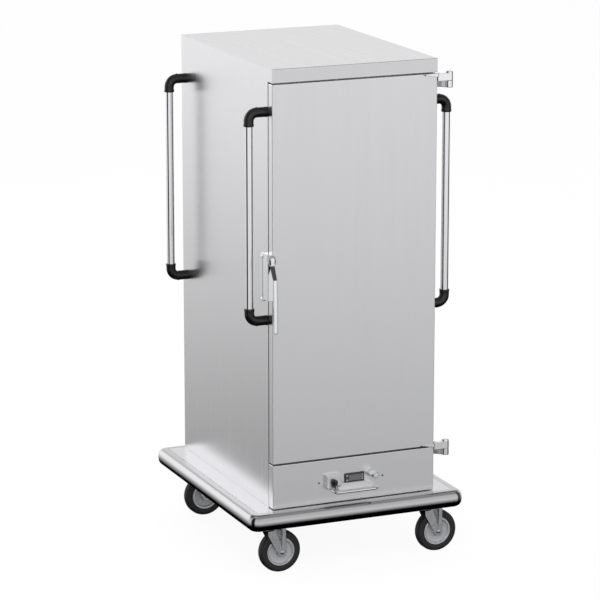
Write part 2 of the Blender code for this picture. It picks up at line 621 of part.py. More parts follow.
def build_hinge(name, bracket_low, strap_low):
    """One lift-off hinge: the bracket and its pin stay on the cabinet, the leaf swings with the door."""
    bracket_high = bracket_low + BRACKET_HEIGHT
    leaf_low = bracket_high + CLEAR
    leaf_high = leaf_low + LEAF_HEIGHT
    side = HALF_WIDTH + CLEAR
    foot_front, foot_back = (BODY + reach for reach in HINGE_FOOT)
    arm = [(side, foot_back), (side, foot_front)]
    arm += arc((PIVOT_X, PIVOT_Y), KNUCKLE_RADIUS, 180, 360, 10)
    arm += arc((PIVOT_X, PIVOT_Y), KNUCKLE_RADIUS, 0, 45, 3)[1:] + [(side + HINGE_FOOT_SHEET, foot_back)]
    bracket = outline("hinge_bracket_" + name, arm, "z", bracket_low, bracket_high, ROOT, POLISHED)
    pin_top = leaf_high - BARREL_CAP
    join(bracket, rod("pin_" + name, (PIVOT_X, PIVOT_Y, (bracket_low + pin_top) / 2 + PIN_INSET), PIN_RADIUS,
                      pin_top - bracket_low - 2 * PIN_INSET, "z", ROOT, sides=20))

    near = HALF_WIDTH + 0.001
    bar = [(near, PIVOT_Y - KNUCKLE_RADIUS), (PIVOT_X, PIVOT_Y - KNUCKLE_RADIUS)]
    bar += arc((PIVOT_X, PIVOT_Y), KNUCKLE_RADIUS, -75, 150, 12) + [(near, PIVOT_Y + 0.006)]
    leaf = outline("hinge_leaf_" + name, bar, "z", leaf_low, leaf_high - BARREL_CAP, DOOR, POLISHED)
    strap_high = strap_low + STRAP_HEIGHT
    strap = [(near + 0.004, strap_low), (near + 0.004, strap_high),
             (HALF_WIDTH - STRAP_LENGTH, strap_high), (HALF_WIDTH - STRAP_LENGTH, strap_high - 0.002)]
    join(leaf, outline("strap_" + name, strap, "y", PIVOT_Y - KNUCKLE_RADIUS, FACE - CLEAR, DOOR),
         rod("knuckle_" + name, (PIVOT_X, PIVOT_Y, (leaf_low + leaf_high) / 2), KNUCKLE_RADIUS - 0.0005,
             LEAF_HEIGHT, "z", DOOR))
    bore_middle = (PIVOT_X, PIVOT_Y, (leaf_low + pin_top) / 2 - 0.004)
    cut(leaf, rod("pin_bore_" + name, bore_middle, PIN_RADIUS + PIN_GAP, pin_top - leaf_low + 0.010, "z",
                  DOOR, sides=20))


def build_latch():
    outside, inside = -HALF_WIDTH - LATCH_WIDTH, -HALF_WIDTH - CLEAR
    cheek = LATCH_CHEEK
    front = FACE - LATCH_FRONT
    low, high = DECK + LATCH_LOW, DECK + LATCH_HIGH
    back = FACE + DOOR_THICKNESS - 0.001
    body = box("latch_body", (outside, front, low), (inside, back, high), DOOR, CHROME)
    ear_front = LEVER_PIVOT.y - CHEEK_REACH
    ear_low = LEVER_PIVOT.z - CHEEK_DROP
    join(body,
         box("outer_cheek", (outside, ear_front, ear_low), (outside + cheek, front + 0.004, high), DOOR),
         box("inner_cheek", (inside - cheek, ear_front, ear_low), (inside, front + 0.004, high), DOOR),
         rod("lever_pin", LEVER_PIVOT, LEVER_PIN, LATCH_WIDTH - 2 * CLEAR, "x", DOOR, sides=16))
    y, z = LEVER_PIVOT.y, LEVER_PIVOT.z
    grip_low = z - LEVER_LENGTH
    shape = arc((y, z), LEVER_HUB, 0, 180, 8)
    face, rear = y - GRIP_OUT, y - GRIP_OUT + GRIP_THICKNESS
    shape += [(y - LEVER_HUB, z - LEVER_NECK_TOP), (face, z - LEVER_NECK_LOW), (face, grip_low),
              (rear, grip_low), (rear, z - LEVER_NECK_LOW + 0.003), (y + 0.006, z - LEVER_NECK_TOP - 0.002)]
    bore = arc((y, z), LEVER_PIN + PIN_GAP, 0, 337.5, 15)
    outline("latch_lever", shape, "x", outside + cheek + LEVER_GAP, inside - cheek - LEVER_GAP, LEVER,
            CHROME, holes=(bore,))

    back = BODY + KEEPER_SETBACK
    keeper_low, keeper_high = low - KEEPER_LOW_STEP, high - KEEPER_HIGH_STEP
    wall = -HALF_WIDTH - CLEAR
    keeper = box("latch_keeper", (wall - KEEPER_SHEET, back, keeper_low),
                 (wall, back + KEEPER_DEPTH, keeper_high), ROOT, POLISHED)
    out, deep, tall = KEEPER_LUG
    for end, z in (("lower", keeper_low), ("upper", keeper_high - tall)):
        join(keeper, box(end + "_lug", (wall - out, back, z), (wall - 0.002, back + deep, z + tall), ROOT))
    join(keeper, rod("roller", (wall - ROLLER_OUT, back + deep / 2, (keeper_low + keeper_high) / 2),
                     ROLLER_RADIUS, keeper_high - keeper_low - tall / 2, "z", ROOT, sides=16))


# ---- handles --------------------------------------------------------------------------------
def build_handle(corner, side, y):
    wall = side * (HALF_WIDTH + CLEAR)
    axis = side * (HALF_WIDTH + HANDLE_REACH)
    high = TOP - HANDLE_DROP
    low = high - HANDLE_SPAN
    for end, z, away in (("lower", low, 1), ("upper", high, -1)):
        route = [(wall, y, z), (axis, y, z), (axis, y, z + away * ELBOW_SOCKET)]
        tube("handle_elbow_" + end + "_" + corner, rounded(route, ELBOW_BEND, 5), ELBOW_RADIUS, ROOT,
             BLACK_PLASTIC, fineness=4)
    span = high - low - 2 * (ELBOW_SOCKET + CLEAR)
    rod("handle_tube_" + corner, (axis, y, (low + high) / 2), TUBE_RADIUS, span, "z", ROOT, POLISHED)


# ---- control panel --------------------------------------------------------------------------
def build_controls():
    panel_back = BODY - 0.0035
    panel = open_pan("control_panel", (-HALF_WIDTH, FACE, DECK + 0.002),
                     (HALF_WIDTH, panel_back, PANEL_TOP - 0.0015), (0, 1, 0), SHEET, ROOT, STEEL)
    case_x, case_z = (size / 2 for size in CONTROLLER_CASE)
    face_x, face_z = (size / 2 for size in CONTROLLER_FACE)
    middle = DECK + CONTROLLER_Z
    window = 0.0005
    vent = Vector((VENT_KNOB_X, FACE, DECK + VENT_KNOB_Z))
    cut(panel,
        box("controller_window", (-case_x - window, FACE - 0.01, middle - case_z - window),
            (case_x + window, FACE + 0.01, middle + case_z + window), ROOT),
        rod("vent_hole", vent, VENT_SHAFT + SHAFT_GAP, 0.02, "y", ROOT, sides=20))

    bezel_back = FACE - CLEAR
    bezel_front = bezel_back - CONTROLLER_BEZEL
    bezel = box("controller_bezel", (-face_x, bezel_front, middle - face_z),
                (face_x, bezel_back, middle + face_z), ROOT, GREY_PLASTIC)
    join(bezel, box("controller_case", (-case_x, bezel_back - 0.002, middle - case_z),
                    (case_x, FACE + CASE_DEPTH, middle + case_z), ROOT))
    pocket = KEY_SIZE / 2 + KEY_GAP
    key_x = -face_x + KEY_INSET
    floor = bezel_front + KEY_POCKET
    for name, z in (("key_up", middle + KEY_SPREAD), ("key_set", middle - KEY_SPREAD)):
        cut(bezel, box(name + "_pocket", (key_x - pocket, bezel_front - 0.01, z - pocket),
                       (key_x + pocket, floor, z + pocket), ROOT))
        key = Body(name, (key_x, bezel_front, z), ROOT)
        half = KEY_SIZE / 2
        box(name, (key_x - half, bezel_front - 0.001, z - half),
            (key_x + half, floor - KEY_TRAVEL - 0.0005, z + half), key, HUB_PLASTIC)

    wide, proud, tall = SWITCH_BOX
    centre = Vector((SWITCH_X, FACE - proud, DECK + SWITCH_Z))
    box_low = DECK + SWITCH_Z - SWITCH_DROP
    housing = box("switch_housing", (SWITCH_X - wide / 2, FACE - proud, box_low),
                  (SWITCH_X + wide / 2, FACE - CLEAR, box_low + tall), ROOT, POLISHED)
    cut(housing, rod("switch_bore", centre, SWITCH_SHAFT + SHAFT_GAP, 0.026, "y", ROOT, sides=20))
    turn = Body("switch_knob", centre, ROOT)
    dial_back = centre.y - CLEAR
    knob = rod("switch_knob", (centre.x, dial_back - KNOB_DIAL / 2, centre.z), KNOB_RADIUS, KNOB_DIAL, "y",
               turn, BLACK_PLASTIC)
    grip, down, up = KNOB_GRIP
    join(knob,
         box("knob_grip", (centre.x - grip, dial_back - KNOB_REACH, centre.z + down),
             (centre.x + grip, dial_back - 0.004, centre.z + up), turn),
         rod("knob_shaft", (centre.x, dial_back + 0.002, centre.z), SWITCH_SHAFT, 0.018, "y", turn,
             sides=20))

    spin = Body("vent_knob", vent, ROOT)
    knob = rod("vent_knob", (vent.x, FACE - CLEAR - VENT_KNOB_LENGTH / 2, vent.z), VENT_KNOB_RADIUS,
               VENT_KNOB_LENGTH, "y", spin, CHROME)
    join(knob, rod("vent_shaft", (vent.x, FACE + 0.002, vent.z), VENT_SHAFT, 0.020, "y", spin, sides=20))

    z = DECK + GUARD_HEIGHT
    bar = FACE - GUARD_REACH + GUARD_ROD
    route = [(GUARD_LEFT, FACE - CLEAR, z), (GUARD_LEFT, bar, z), (GUARD_RIGHT, bar, z),
             (GUARD_RIGHT, FACE - CLEAR, z)]
    guard = tube("control_guard", rounded(route, 0.014, 5), GUARD_ROD, ROOT, POLISHED, fineness=3)
    join(guard, box("guard_shelf", (GUARD_LEFT, FACE - GUARD_SHELF, z - 0.001),
                    (GUARD_RIGHT, FACE - CLEAR, z + 0.001), ROOT))


build_base()
for end, caster_y in (("front", CASTER_FRONT), ("back", CASTER_BACK)):
    build_caster("left_" + end, -CASTER_X, caster_y)
    build_caster("right_" + end, CASTER_X, caster_y)
build_shell()
build_racks()
build_climate_unit()
build_door()
build_hinge("top", DOOR_HIGH - TOP_HINGE_DROP, DOOR_HIGH - TOP_STRAP_DROP)
build_hinge("bottom", DOOR_LOW - BOTTOM_HINGE_DROP, DOOR_LOW - BOTTOM_STRAP_DROP)
build_latch()
for end, handle_y in (("front", BODY + ELBOW_RADIUS), ("back", BACK - REAR_HANDLE_INSET)):
    build_handle("left_" + end, -1, handle_y)
    build_handle("right_" + end, 1, handle_y)
build_controls()
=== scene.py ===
"""Proofing cabinet: a heated stainless cabinet on a bumper trolley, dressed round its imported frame."""
import json
from math import cos, pi, radians, sin, tan

import bmesh
import bpy
from bpy.props import FloatProperty, FloatVectorProperty, IntProperty, PointerProperty
from mathutils import Matrix, Vector


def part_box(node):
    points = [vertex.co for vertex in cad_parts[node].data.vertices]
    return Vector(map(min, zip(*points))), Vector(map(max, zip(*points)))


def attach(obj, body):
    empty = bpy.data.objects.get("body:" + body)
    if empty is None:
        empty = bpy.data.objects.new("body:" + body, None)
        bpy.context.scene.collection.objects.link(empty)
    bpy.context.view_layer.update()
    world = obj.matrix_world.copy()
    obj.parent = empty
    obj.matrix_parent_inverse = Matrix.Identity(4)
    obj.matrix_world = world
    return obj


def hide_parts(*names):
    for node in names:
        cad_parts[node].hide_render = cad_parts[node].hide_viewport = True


bl_info = {"name": "Proofing Cabinet", "version": (1, 0, 0), "blender": (4, 5, 0),
           "location": "3D View > Sidebar > Proofer",
           "description": "Builds a stainless proofing cabinet on its trolley", "category": "Object", }

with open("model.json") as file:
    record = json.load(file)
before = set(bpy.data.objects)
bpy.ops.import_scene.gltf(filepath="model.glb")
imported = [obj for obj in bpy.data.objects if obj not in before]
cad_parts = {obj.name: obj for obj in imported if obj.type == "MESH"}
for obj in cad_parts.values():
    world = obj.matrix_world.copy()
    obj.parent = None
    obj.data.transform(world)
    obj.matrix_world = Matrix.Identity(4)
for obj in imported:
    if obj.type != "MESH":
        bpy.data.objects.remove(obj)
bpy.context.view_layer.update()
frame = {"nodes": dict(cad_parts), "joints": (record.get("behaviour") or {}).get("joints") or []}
CORNERS = ("left_front", "right_front", "left_back", "right_back")
MM = 0.001
WELD = 1e-6         # corners closer than this become one


def linear(code):
    """An sRGB hex colour as linear RGB."""
    parts = [int(code[i:i + 2], 16) / 255 for i in (0, 2, 4)]
    return [c / 12.92 if c <= 0.04045 else ((c + 0.055) / 1.055) ** 2.4 for c in parts]


# ---- sizes and colours a user may change ------------------------------------------------------
class SheetMetalSizes(bpy.types.PropertyGroup):
    bend_radius: FloatProperty(name="Bend radius", description="Outer radius of the folded sheet edges",
                               default=3 * MM, unit="LENGTH")
    edge_break: FloatProperty(name="Edge break", description="Rounding of cut and deburred edges",
                              default=0.5 * MM, unit="LENGTH")
    casing_sheet: FloatProperty(name="Casing sheet", description="Thickness of the outer sheets",
                                default=1.5 * MM, unit="LENGTH")
    door_sheet: FloatProperty(name="Door sheet", description="Thickness of the door and liner sheets",
                              default=1.2 * MM, unit="LENGTH")
    grain_spacing: FloatProperty(name="Grain spacing", description="Distance between the drawn brush lines",
                                 default=1.2 * MM, unit="LENGTH")


class ChamberSizes(bpy.types.PropertyGroup):
    levels: IntProperty(name="Ledge levels", description="Pairs of tray ledges", default=12, min=1)
    ledge_roll: FloatProperty(name="Ledge roll", description="Radius of the rolled edge of a ledge",
                              default=2.4 * MM, unit="LENGTH")
    grille_hole: FloatProperty(name="Grille hole",
                               description="Diameter of the air holes in the floor grille",
                               default=9 * MM, unit="LENGTH")
    grille_pitch: FloatProperty(name="Grille pitch", description="Distance between the air holes",
                                default=15 * MM, unit="LENGTH")


class TrolleySizes(bpy.types.PropertyGroup):
    rim_width: FloatProperty(name="Rim width", description="Width of the bumper rim", default=40 * MM,
                             unit="LENGTH")
    rim_corner: FloatProperty(name="Rim corner", description="Corner radius of the bumper rim",
                              default=42 * MM, unit="LENGTH")
    tread_grooves: IntProperty(name="Tread grooves", description="Grooves round each tyre", default=2,
                               min=1)


class FinishColours(bpy.types.PropertyGroup):
    steel: FloatVectorProperty(name="Stainless", description="Reflected colour of the stainless sheets",
                               default=linear("E5E5E7"), subtype="COLOR", size=3)
    bright_steel: FloatVectorProperty(name="Bright steel",
                                      description="Reflected colour of the polished steel",
                                      default=linear("EBEBED"), subtype="COLOR", size=3)
    zinc: FloatVectorProperty(name="Zinc", description="Colour of the zinc plating",
                              default=linear("B9BBBE"),
                              subtype="COLOR", size=3)
    black: FloatVectorProperty(name="Black plastic", description="Colour of the handle elbows and knob",
                               default=linear("161618"), subtype="COLOR", size=3)
    hub: FloatVectorProperty(name="Wheel centre", description="Colour of the nylon wheel centres",
                             default=linear("C2C3C6"), subtype="COLOR", size=3)
    tyre: FloatVectorProperty(name="Tyre", description="Colour of the rubber tyres",
                              default=linear("232326"),
                              subtype="COLOR", size=3)


# ---- nodes ------------------------------------------------------------------------------------
def add_node(tree, kind, settings=None, links=None):
    """Add a node, set its options and sockets, and link its inputs to (node, output) pairs."""
    node = tree.nodes.new(kind)
    for name, value in (settings or {}).items():
        if isinstance(name, int) or name in node.inputs:
            node.inputs[name].default_value = value
        else:
            setattr(node, name, value)
    for name, (source, output) in (links or {}).items():
        tree.links.new(source.outputs[output], node.inputs[name])
    return node


def new_finish(name, colour, metallic, roughness, **sockets):
    """A material with its shader's own sockets set; returns the material, its tree and its shader."""
    made = bpy.data.materials.new(name)
    made.use_nodes = True
    tree = made.node_tree
    shader = tree.nodes["Principled BSDF"]
    shader.inputs["Base Color"].default_value = (*colour, 1)
    shader.inputs["Metallic"].default_value = metallic
    shader.inputs["Roughness"].default_value = roughness
    for socket, value in sockets.items():
        shader.inputs[socket.replace("_", " ")].default_value = value
    return made, tree, shader


def vary(tree, shader, height, colours, roughness, bump):
    """Let one 0 to 1 pattern mix two colours, sweep the roughness and raise the surface."""
    mixed = add_node(tree, "ShaderNodeMix", {"data_type": "RGBA", 6: (*colours[0], 1), 7: (*colours[1], 1)},
                     {0: height})
    tree.links.new(mixed.outputs[2], shader.inputs["Base Color"])
    rough = add_node(tree, "ShaderNodeMapRange", {"To Min": roughness[0], "To Max": roughness[1]},
                     {"Value": height})
    tree.links.new(rough.outputs["Result"], shader.inputs["Roughness"])
    raised = add_node(tree, "ShaderNodeBump", {"Strength": bump[0], "Distance": bump[1]},
                      {"Height": height})
    tree.links.new(raised.outputs["Normal"], shader.inputs["Normal"])


def shade(colour, factor):
    return [channel * factor for channel in colour]


def brushed(name, colour, roughness, stretch, spacing, contrast, bump):
    """Stainless sheet ground on a belt: fine parallel lines and faint wide streaks from handling.

    The belt's real lines are under 0.1 mm apart; they are drawn as far apart as the spacing, so that
    they show.
    """
    made, tree, shader = new_finish(name, colour, 1.0, roughness)
    place = add_node(tree, "ShaderNodeTexCoord")
    lines = add_node(tree, "ShaderNodeMapping", {"Scale": [along / spacing for along in stretch]},
                     {"Vector": (place, "Object")})
    fine = add_node(tree, "ShaderNodeTexNoise", {"Scale": 1.0, "Detail": 3.0, "Roughness": 0.6},
                    {"Vector": (lines, "Vector")})
    streaks = add_node(tree, "ShaderNodeMapping", {"Scale": [along * 30 + 1.2 for along in stretch]},
                       {"Vector": (place, "Object")})
    wide = add_node(tree, "ShaderNodeTexNoise", {"Scale": 1.0, "Detail": 2.0},
                    {"Vector": (streaks, "Vector")})
    both = add_node(tree, "ShaderNodeMix", {"data_type": "FLOAT", 0: 0.45},
                    {2: (fine, "Fac"), 3: (wide, "Fac")})
    vary(tree, shader, (both, 0), (shade(colour, 1 - contrast), shade(colour, 1 + contrast)),
         (roughness * 0.82, roughness * 1.18), bump)
    return made


def speckled(name, colour, metallic, roughness, size, contrast, bump, **sockets):
    """A moulded, cast or plated surface: an even fine texture of the given size."""
    made, tree, shader = new_finish(name, colour, metallic, roughness, **sockets)
    place = add_node(tree, "ShaderNodeTexCoord")
    fine = add_node(tree, "ShaderNodeTexNoise", {"Scale": 1 / size, "Detail": 4.0, "Roughness": 0.55},
                    {"Vector": (place, "Object")})
    vary(tree, shader, (fine, "Fac"), (shade(colour, 1 - contrast), shade(colour, 1 + contrast)),
         (roughness * 0.85, roughness * 1.15), bump)
    return made


FINISHES = {}


def make_finishes(sheet, colours):
    steel, bright = list(colours.steel), list(colours.bright_steel)
    grain = sheet.grain_spacing
    # 304 stainless, belt ground upright: a soft, slightly streaked mirror of the room
    FINISHES["upright_sheet"] = brushed("stainless_304_ground_upright", steel, 0.26, (1, 1, 0.006), grain,
                                        0.012, (0.004, 0.02 * MM))
    # the same sheet lying flat, its grain running from front to back; its colour is the upright sheet's
    # darkened to 0.95, painted shade on the roof, deck and other flat-lying pieces
    FINISHES["level_sheet"] = brushed("stainless_304_ground_level_painted_shade", shade(steel, 0.95), 0.28, (1, 0.006, 1),
                                      grain, 0.012, (0.004, 0.02 * MM))
    # 304 stainless tube and rod, buffed: a clear mirror with faint draw lines
    FINISHES["bright_steel"] = brushed("stainless_304_buffed", bright, 0.09, (1, 1, 0.01), 1.5 * MM, 0.02,
                                       (0.02, 0.03 * MM))
    # bumper rim, rolled and mirror ground: its highlights run along the trolley's edges. Its colour is the
    # bright steel darkened to 0.6, painted shade that makes the whole rim read darker
    FINISHES["rim_steel"] = brushed("stainless_304_rolled_rim_painted_shade", shade(bright, 0.60), 0.15, (0.02, 0.02, 1),
                                    2 * MM, 0.03, (0.03, 0.04 * MM))
    # nickel and chrome plate on zinc die castings: a sharp, slightly cool mirror
    FINISHES["chrome"] = speckled("chrome_plated_zinc", linear("EDEEF0"), 1.0, 0.06, 6 * MM, 0.015,
                                  (0.03, 0.03 * MM))
    FINISHES["zinc"] = zinc_plate(list(colours.zinc))
    # glass-filled ABS, moulded in a spark-eroded tool: near black, with a broad soft highlight
    FINISHES["black_plastic"] = speckled("moulded_black_abs", list(colours.black), 0.0, 0.34, 1.2 * MM,
                                         0.12, (0.12, 0.08 * MM), IOR=1.53)
    # polycarbonate-ABS controller housing: dark grey, satin
    FINISHES["controller"] = speckled("moulded_grey_pc_abs", linear("38383B"), 0.0, 0.38, 1.0 * MM, 0.08,
                                      (0.08, 0.05 * MM), IOR=1.55)
    # tinted acrylic window: smooth and glossy, a dull grey behind it
    FINISHES["lens"] = speckled("tinted_acrylic_window", linear("6E6E72"), 0.0, 0.10, 8 * MM, 0.03,
                                (0.02, 0.02 * MM), IOR=1.49, Coat_Weight=0.4)
    FINISHES["key"] = speckled("silicone_rubber_key", linear("B4B4B8"), 0.0, 0.5, 1.0 * MM, 0.05,
                               (0.1, 0.05 * MM), IOR=1.43)
    # screen-printed two-part ink: flat and white
    FINISHES["ink"] = speckled("white_printed_ink", linear("ECECEA"), 0.0, 0.6, 1.0 * MM, 0.03,
                               (0.05, 0.02 * MM), IOR=1.5)
    # polyamide 6 wheel centre: pale grey, waxy
    FINISHES["hub"] = speckled("moulded_grey_nylon", list(colours.hub), 0.0, 0.42, 2.5 * MM, 0.06,
                               (0.1, 0.1 * MM), IOR=1.53)
    # grey-black elastic rubber: dull, a little dusty
    FINISHES["tyre"] = speckled("elastic_rubber_tyre", list(colours.tyre), 0.0, 0.62, 4 * MM, 0.22,
                                (0.2, 0.15 * MM), IOR=1.52)
    # extruded silicone: dark, with a silky sheen
    FINISHES["gasket"] = speckled("extruded_silicone", linear("2C2C2E"), 0.0, 0.45, 2.0 * MM, 0.1,
                                  (0.1, 0.06 * MM), IOR=1.43)
    # black oxide on steel screws: dark, with a dull metal gleam
    FINISHES["black_oxide"] = speckled("black_oxide_steel", linear("38383A"), 1.0, 0.42, 1.0 * MM, 0.2,
                                       (0.1, 0.04 * MM))
    # cut polyurethane foam: straw-coloured open cells
    FINISHES["foam"] = speckled("polyurethane_foam", linear("D8C48E"), 0.0, 0.95, 1.5 * MM, 0.25,
                                (0.5, 0.4 * MM), IOR=1.5)


def zinc_plate(colour):
    """Hot-dipped or plated zinc on pressed steel: small crystals, each a little lighter or darker."""
    made, tree, shader = new_finish("zinc_plated_steel", colour, 1.0, 0.26)
    place = add_node(tree, "ShaderNodeTexCoord")
    crystals = add_node(tree, "ShaderNodeTexVoronoi", {"Scale": 1 / (5 * MM), "Randomness": 0.9},
                        {"Vector": (place, "Object")})
    tone = add_node(tree, "ShaderNodeSeparateColor", {}, {"Color": (crystals, "Color")})
    vary(tree, shader, (tone, "Red"), (shade(colour, 0.86), shade(colour, 1.08)), (0.20, 0.32),
         (0.04, 0.05 * MM))
    return made


# ---- shapes -----------------------------------------------------------------------------------
AXES = {"x": Matrix.Rotation(pi / 2, 4, "Y"), "y": Matrix.Rotation(pi / 2, 4, "X"), "z": Matrix()}


def arc(centre, radius, start, end, steps):
    """Points of an arc from start to end, in degrees."""
    angles = [radians(start + (end - start) * i / steps) for i in range(steps + 1)]
    return [(centre[0] + radius * cos(a), centre[1] + radius * sin(a)) for a in angles]


def rounded(points, radius, steps=8):
    """The points of a bent bar: each inner corner is replaced by a circular bend."""
    points = [Vector(point) for point in points]
    path = [points[0]]
    for before, corner, after in zip(points, points[1:], points[2:]):
        into, out = (corner - before).normalized(), (after - corner).normalized()
        angle = into.angle(out)
        start = corner - into * radius * tan(angle / 2)
        side = (out - into * into.dot(out)).normalized()
        for i in range(steps + 1):
            turn = angle * i / steps
            path.append(start + into * radius * sin(turn) + side * radius * (1 - cos(turn)))
    return path + [points[-1]]


class Shape:
    """A mesh put together from closed parts, in the cabinet's own frame."""

    def __init__(self):
        self.bm = bmesh.new()

    def block(self, low, high, radius=0.0, segments=3, upright_only=False):
        """A box, its edges rounded by the radius, or only its upright edges."""
        low, high = Vector(low), Vector(high)
        place = Matrix.LocRotScale((low + high) / 2, None, high - low)
        verts = bmesh.ops.create_cube(self.bm, size=1.0, matrix=place)["verts"]
        edges = {edge for vert in verts for edge in vert.link_edges}
        if upright_only:
            edges = {e for e in edges if abs(e.verts[0].co.z - e.verts[1].co.z) > 1e-6}
        if radius:
            bmesh.ops.bevel(self.bm, geom=list(edges), offset=radius, segments=segments, profile=0.5,
                            affect="EDGES", clamp_overlap=True)
        return self

    def plate(self, outline, axis, low, high):
        """A flat outline, (y, z) along x, (x, z) along y or (x, y) along z, from low to high."""
        spot = {"x": lambda u, v, w: (w, u, v), "y": lambda u, v, w: (u, w, v), "z": lambda u, v,
                w: (u, v, w)}
        near = [self.bm.verts.new(spot[axis](u, v, low)) for u, v in outline]
        far = [self.bm.verts.new(spot[axis](u, v, high)) for u, v in outline]
        self.bm.faces.new(near)
        self.bm.faces.new(far[::-1])
        self.skin([near, far], closed_across=True)
        return self

    def skin(self, rows, closed_across=False, closed_along=False):
        """Faces between rows of corners; a corner used all along a row makes a pole."""
        pairs = list(zip(rows, rows[1:])) + ([(rows[-1], rows[0])] if closed_along else [])
        count = len(rows[0])
        for first, second in pairs:
            for i in range(count if closed_across else count - 1):
                j = (i + 1) % count
                around = list(dict.fromkeys((first[i], first[j], second[j], second[i])))
                if len(around) > 2:
                    self.bm.faces.new(around)
        return self

    def fold_open(self, is_open, radius, segments):
        """Take away the faces whose middle passes the test and round the other edges, as in folded sheet."""
        bmesh.ops.delete(self.bm, geom=[f for f in self.bm.faces if is_open(f.calc_center_median())],
                         context="FACES")
        bmesh.ops.bevel(self.bm, geom=[e for e in self.bm.edges if not e.is_boundary], offset=radius,
                        segments=segments, profile=0.5, affect="EDGES")
        return self

    def lathe(self, profile, centre, axis, steps=48):
        """Turn (radius, height) points about the axis; an end with no radius closes in a pole."""
        place = Matrix.Translation(Vector(centre)) @ AXES[axis]
        rows = []
        for radius, height in profile:
            if radius == 0:
                rows.append([self.bm.verts.new(place @ Vector((0, 0, height)))] * steps)
            else:
                turns = [2 * pi * k / steps for k in range(steps)]
                rows.append([self.bm.verts.new(place @ Vector((radius * cos(a), radius * sin(a), height)))
                             for a in turns])
        return self.skin(rows, closed_across=True, closed_along=bool(profile[0][0] and profile[-1][0]))

    def bar(self, points, radii, sides=24):
        """A round bar along the points, with one radius or one for each point, and closed ends."""
        points = [Vector(p) for p in points]
        radii = radii if isinstance(radii, (list, tuple)) else [radii] * len(points)
        tangents = [(b - a).normalized() for a, b in zip(points, points[1:])]
        tangents = [tangents[0]] + [(a + b).normalized() for a, b in zip(tangents,
                                                                         tangents[1:])] + [tangents[-1]]
        across = tangents[0].orthogonal().normalized()
        rows = []
        for point, tangent, radius in zip(points, tangents, radii):
            across = (across - tangent * across.dot(tangent)).normalized()
            other = tangent.cross(across)
            rows.append([self.bm.verts.new(point + (across * cos(a) + other * sin(a)) * radius)
                         for a in (2 * pi * k / sides for k in range(sides))])
        self.bm.faces.new(rows[0])
        self.bm.faces.new(rows[-1][::-1])
        return self.skin(rows, closed_across=True)

    def frame_ring(self, profile, low, high, axis, corner=0.0, steps=1):
        """A profile of (inset, height) points carried round a rectangle with rounded or mitred corners."""
        rows = []
        for inset, height in profile:
            radius = max(corner - inset, 0.0)
            row = []
            for cx, cy, start in ((1, 1, 0), (-1, 1, 90), (-1, -1, 180), (1, -1, 270)):
                u = (high[0] - inset - radius) if cx > 0 else (low[0] + inset + radius)
                v = (high[1] - inset - radius) if cy > 0 else (low[1] + inset + radius)
                for a, b in arc((u, v), radius, start, start + 90, steps) if corner else [(u, v)]:
                    spot = {"z": (a, b, height), "y": (a, height, b), "x": (height, a, b)}[axis]
                    row.append(self.bm.verts.new(spot))
            rows.append(row)
        return self.skin(rows, closed_across=True, closed_along=True)


def coat(node, finish):
    """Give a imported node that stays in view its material."""
    materials = frame["nodes"][node].data.materials
    materials.clear()
    materials.append(FINISHES[finish])


def dress(piece, body, replaced=()):
    """Hang a piece under its body's empty and hide the imported nodes it stands for."""
    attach(piece, body)
    if replaced:
        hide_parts(*replaced)
    return piece


def make(name, shape, finish, body, replaced=(), bevel=0.0, sheet=0.0, segments=3, smooth=35):
    """Turn a shape into a finished piece."""
    bm = shape.bm
    bmesh.ops.remove_doubles(bm, verts=bm.verts, dist=WELD)
    bmesh.ops.recalc_face_normals(bm, faces=bm.faces)
    mesh = bpy.data.meshes.new(name)
    bm.to_mesh(mesh)
    bm.free()
    mesh.shade_smooth()
    mesh.set_sharp_from_angle(angle=radians(smooth))
    mesh.materials.append(FINISHES[finish])
    piece = bpy.data.objects.new(name, mesh)
    bpy.context.scene.collection.objects.link(piece)
    if sheet:
        wall = piece.modifiers.new("sheet", "SOLIDIFY")
        wall.thickness = sheet
        wall.offset = -1
        wall.use_even_offset = True
    if bevel:
        soft = piece.modifiers.new("edges", "BEVEL")
        soft.width = bevel
        soft.segments = segments
        soft.limit_method = "ANGLE"
        soft.angle_limit = radians(40)
    even = piece.modifiers.new("even_faces", "WEIGHTED_NORMAL")
    even.mode = "FACE_AREA"
    even.weight = 100
    even.keep_sharp = True
    return dress(piece, body, replaced)


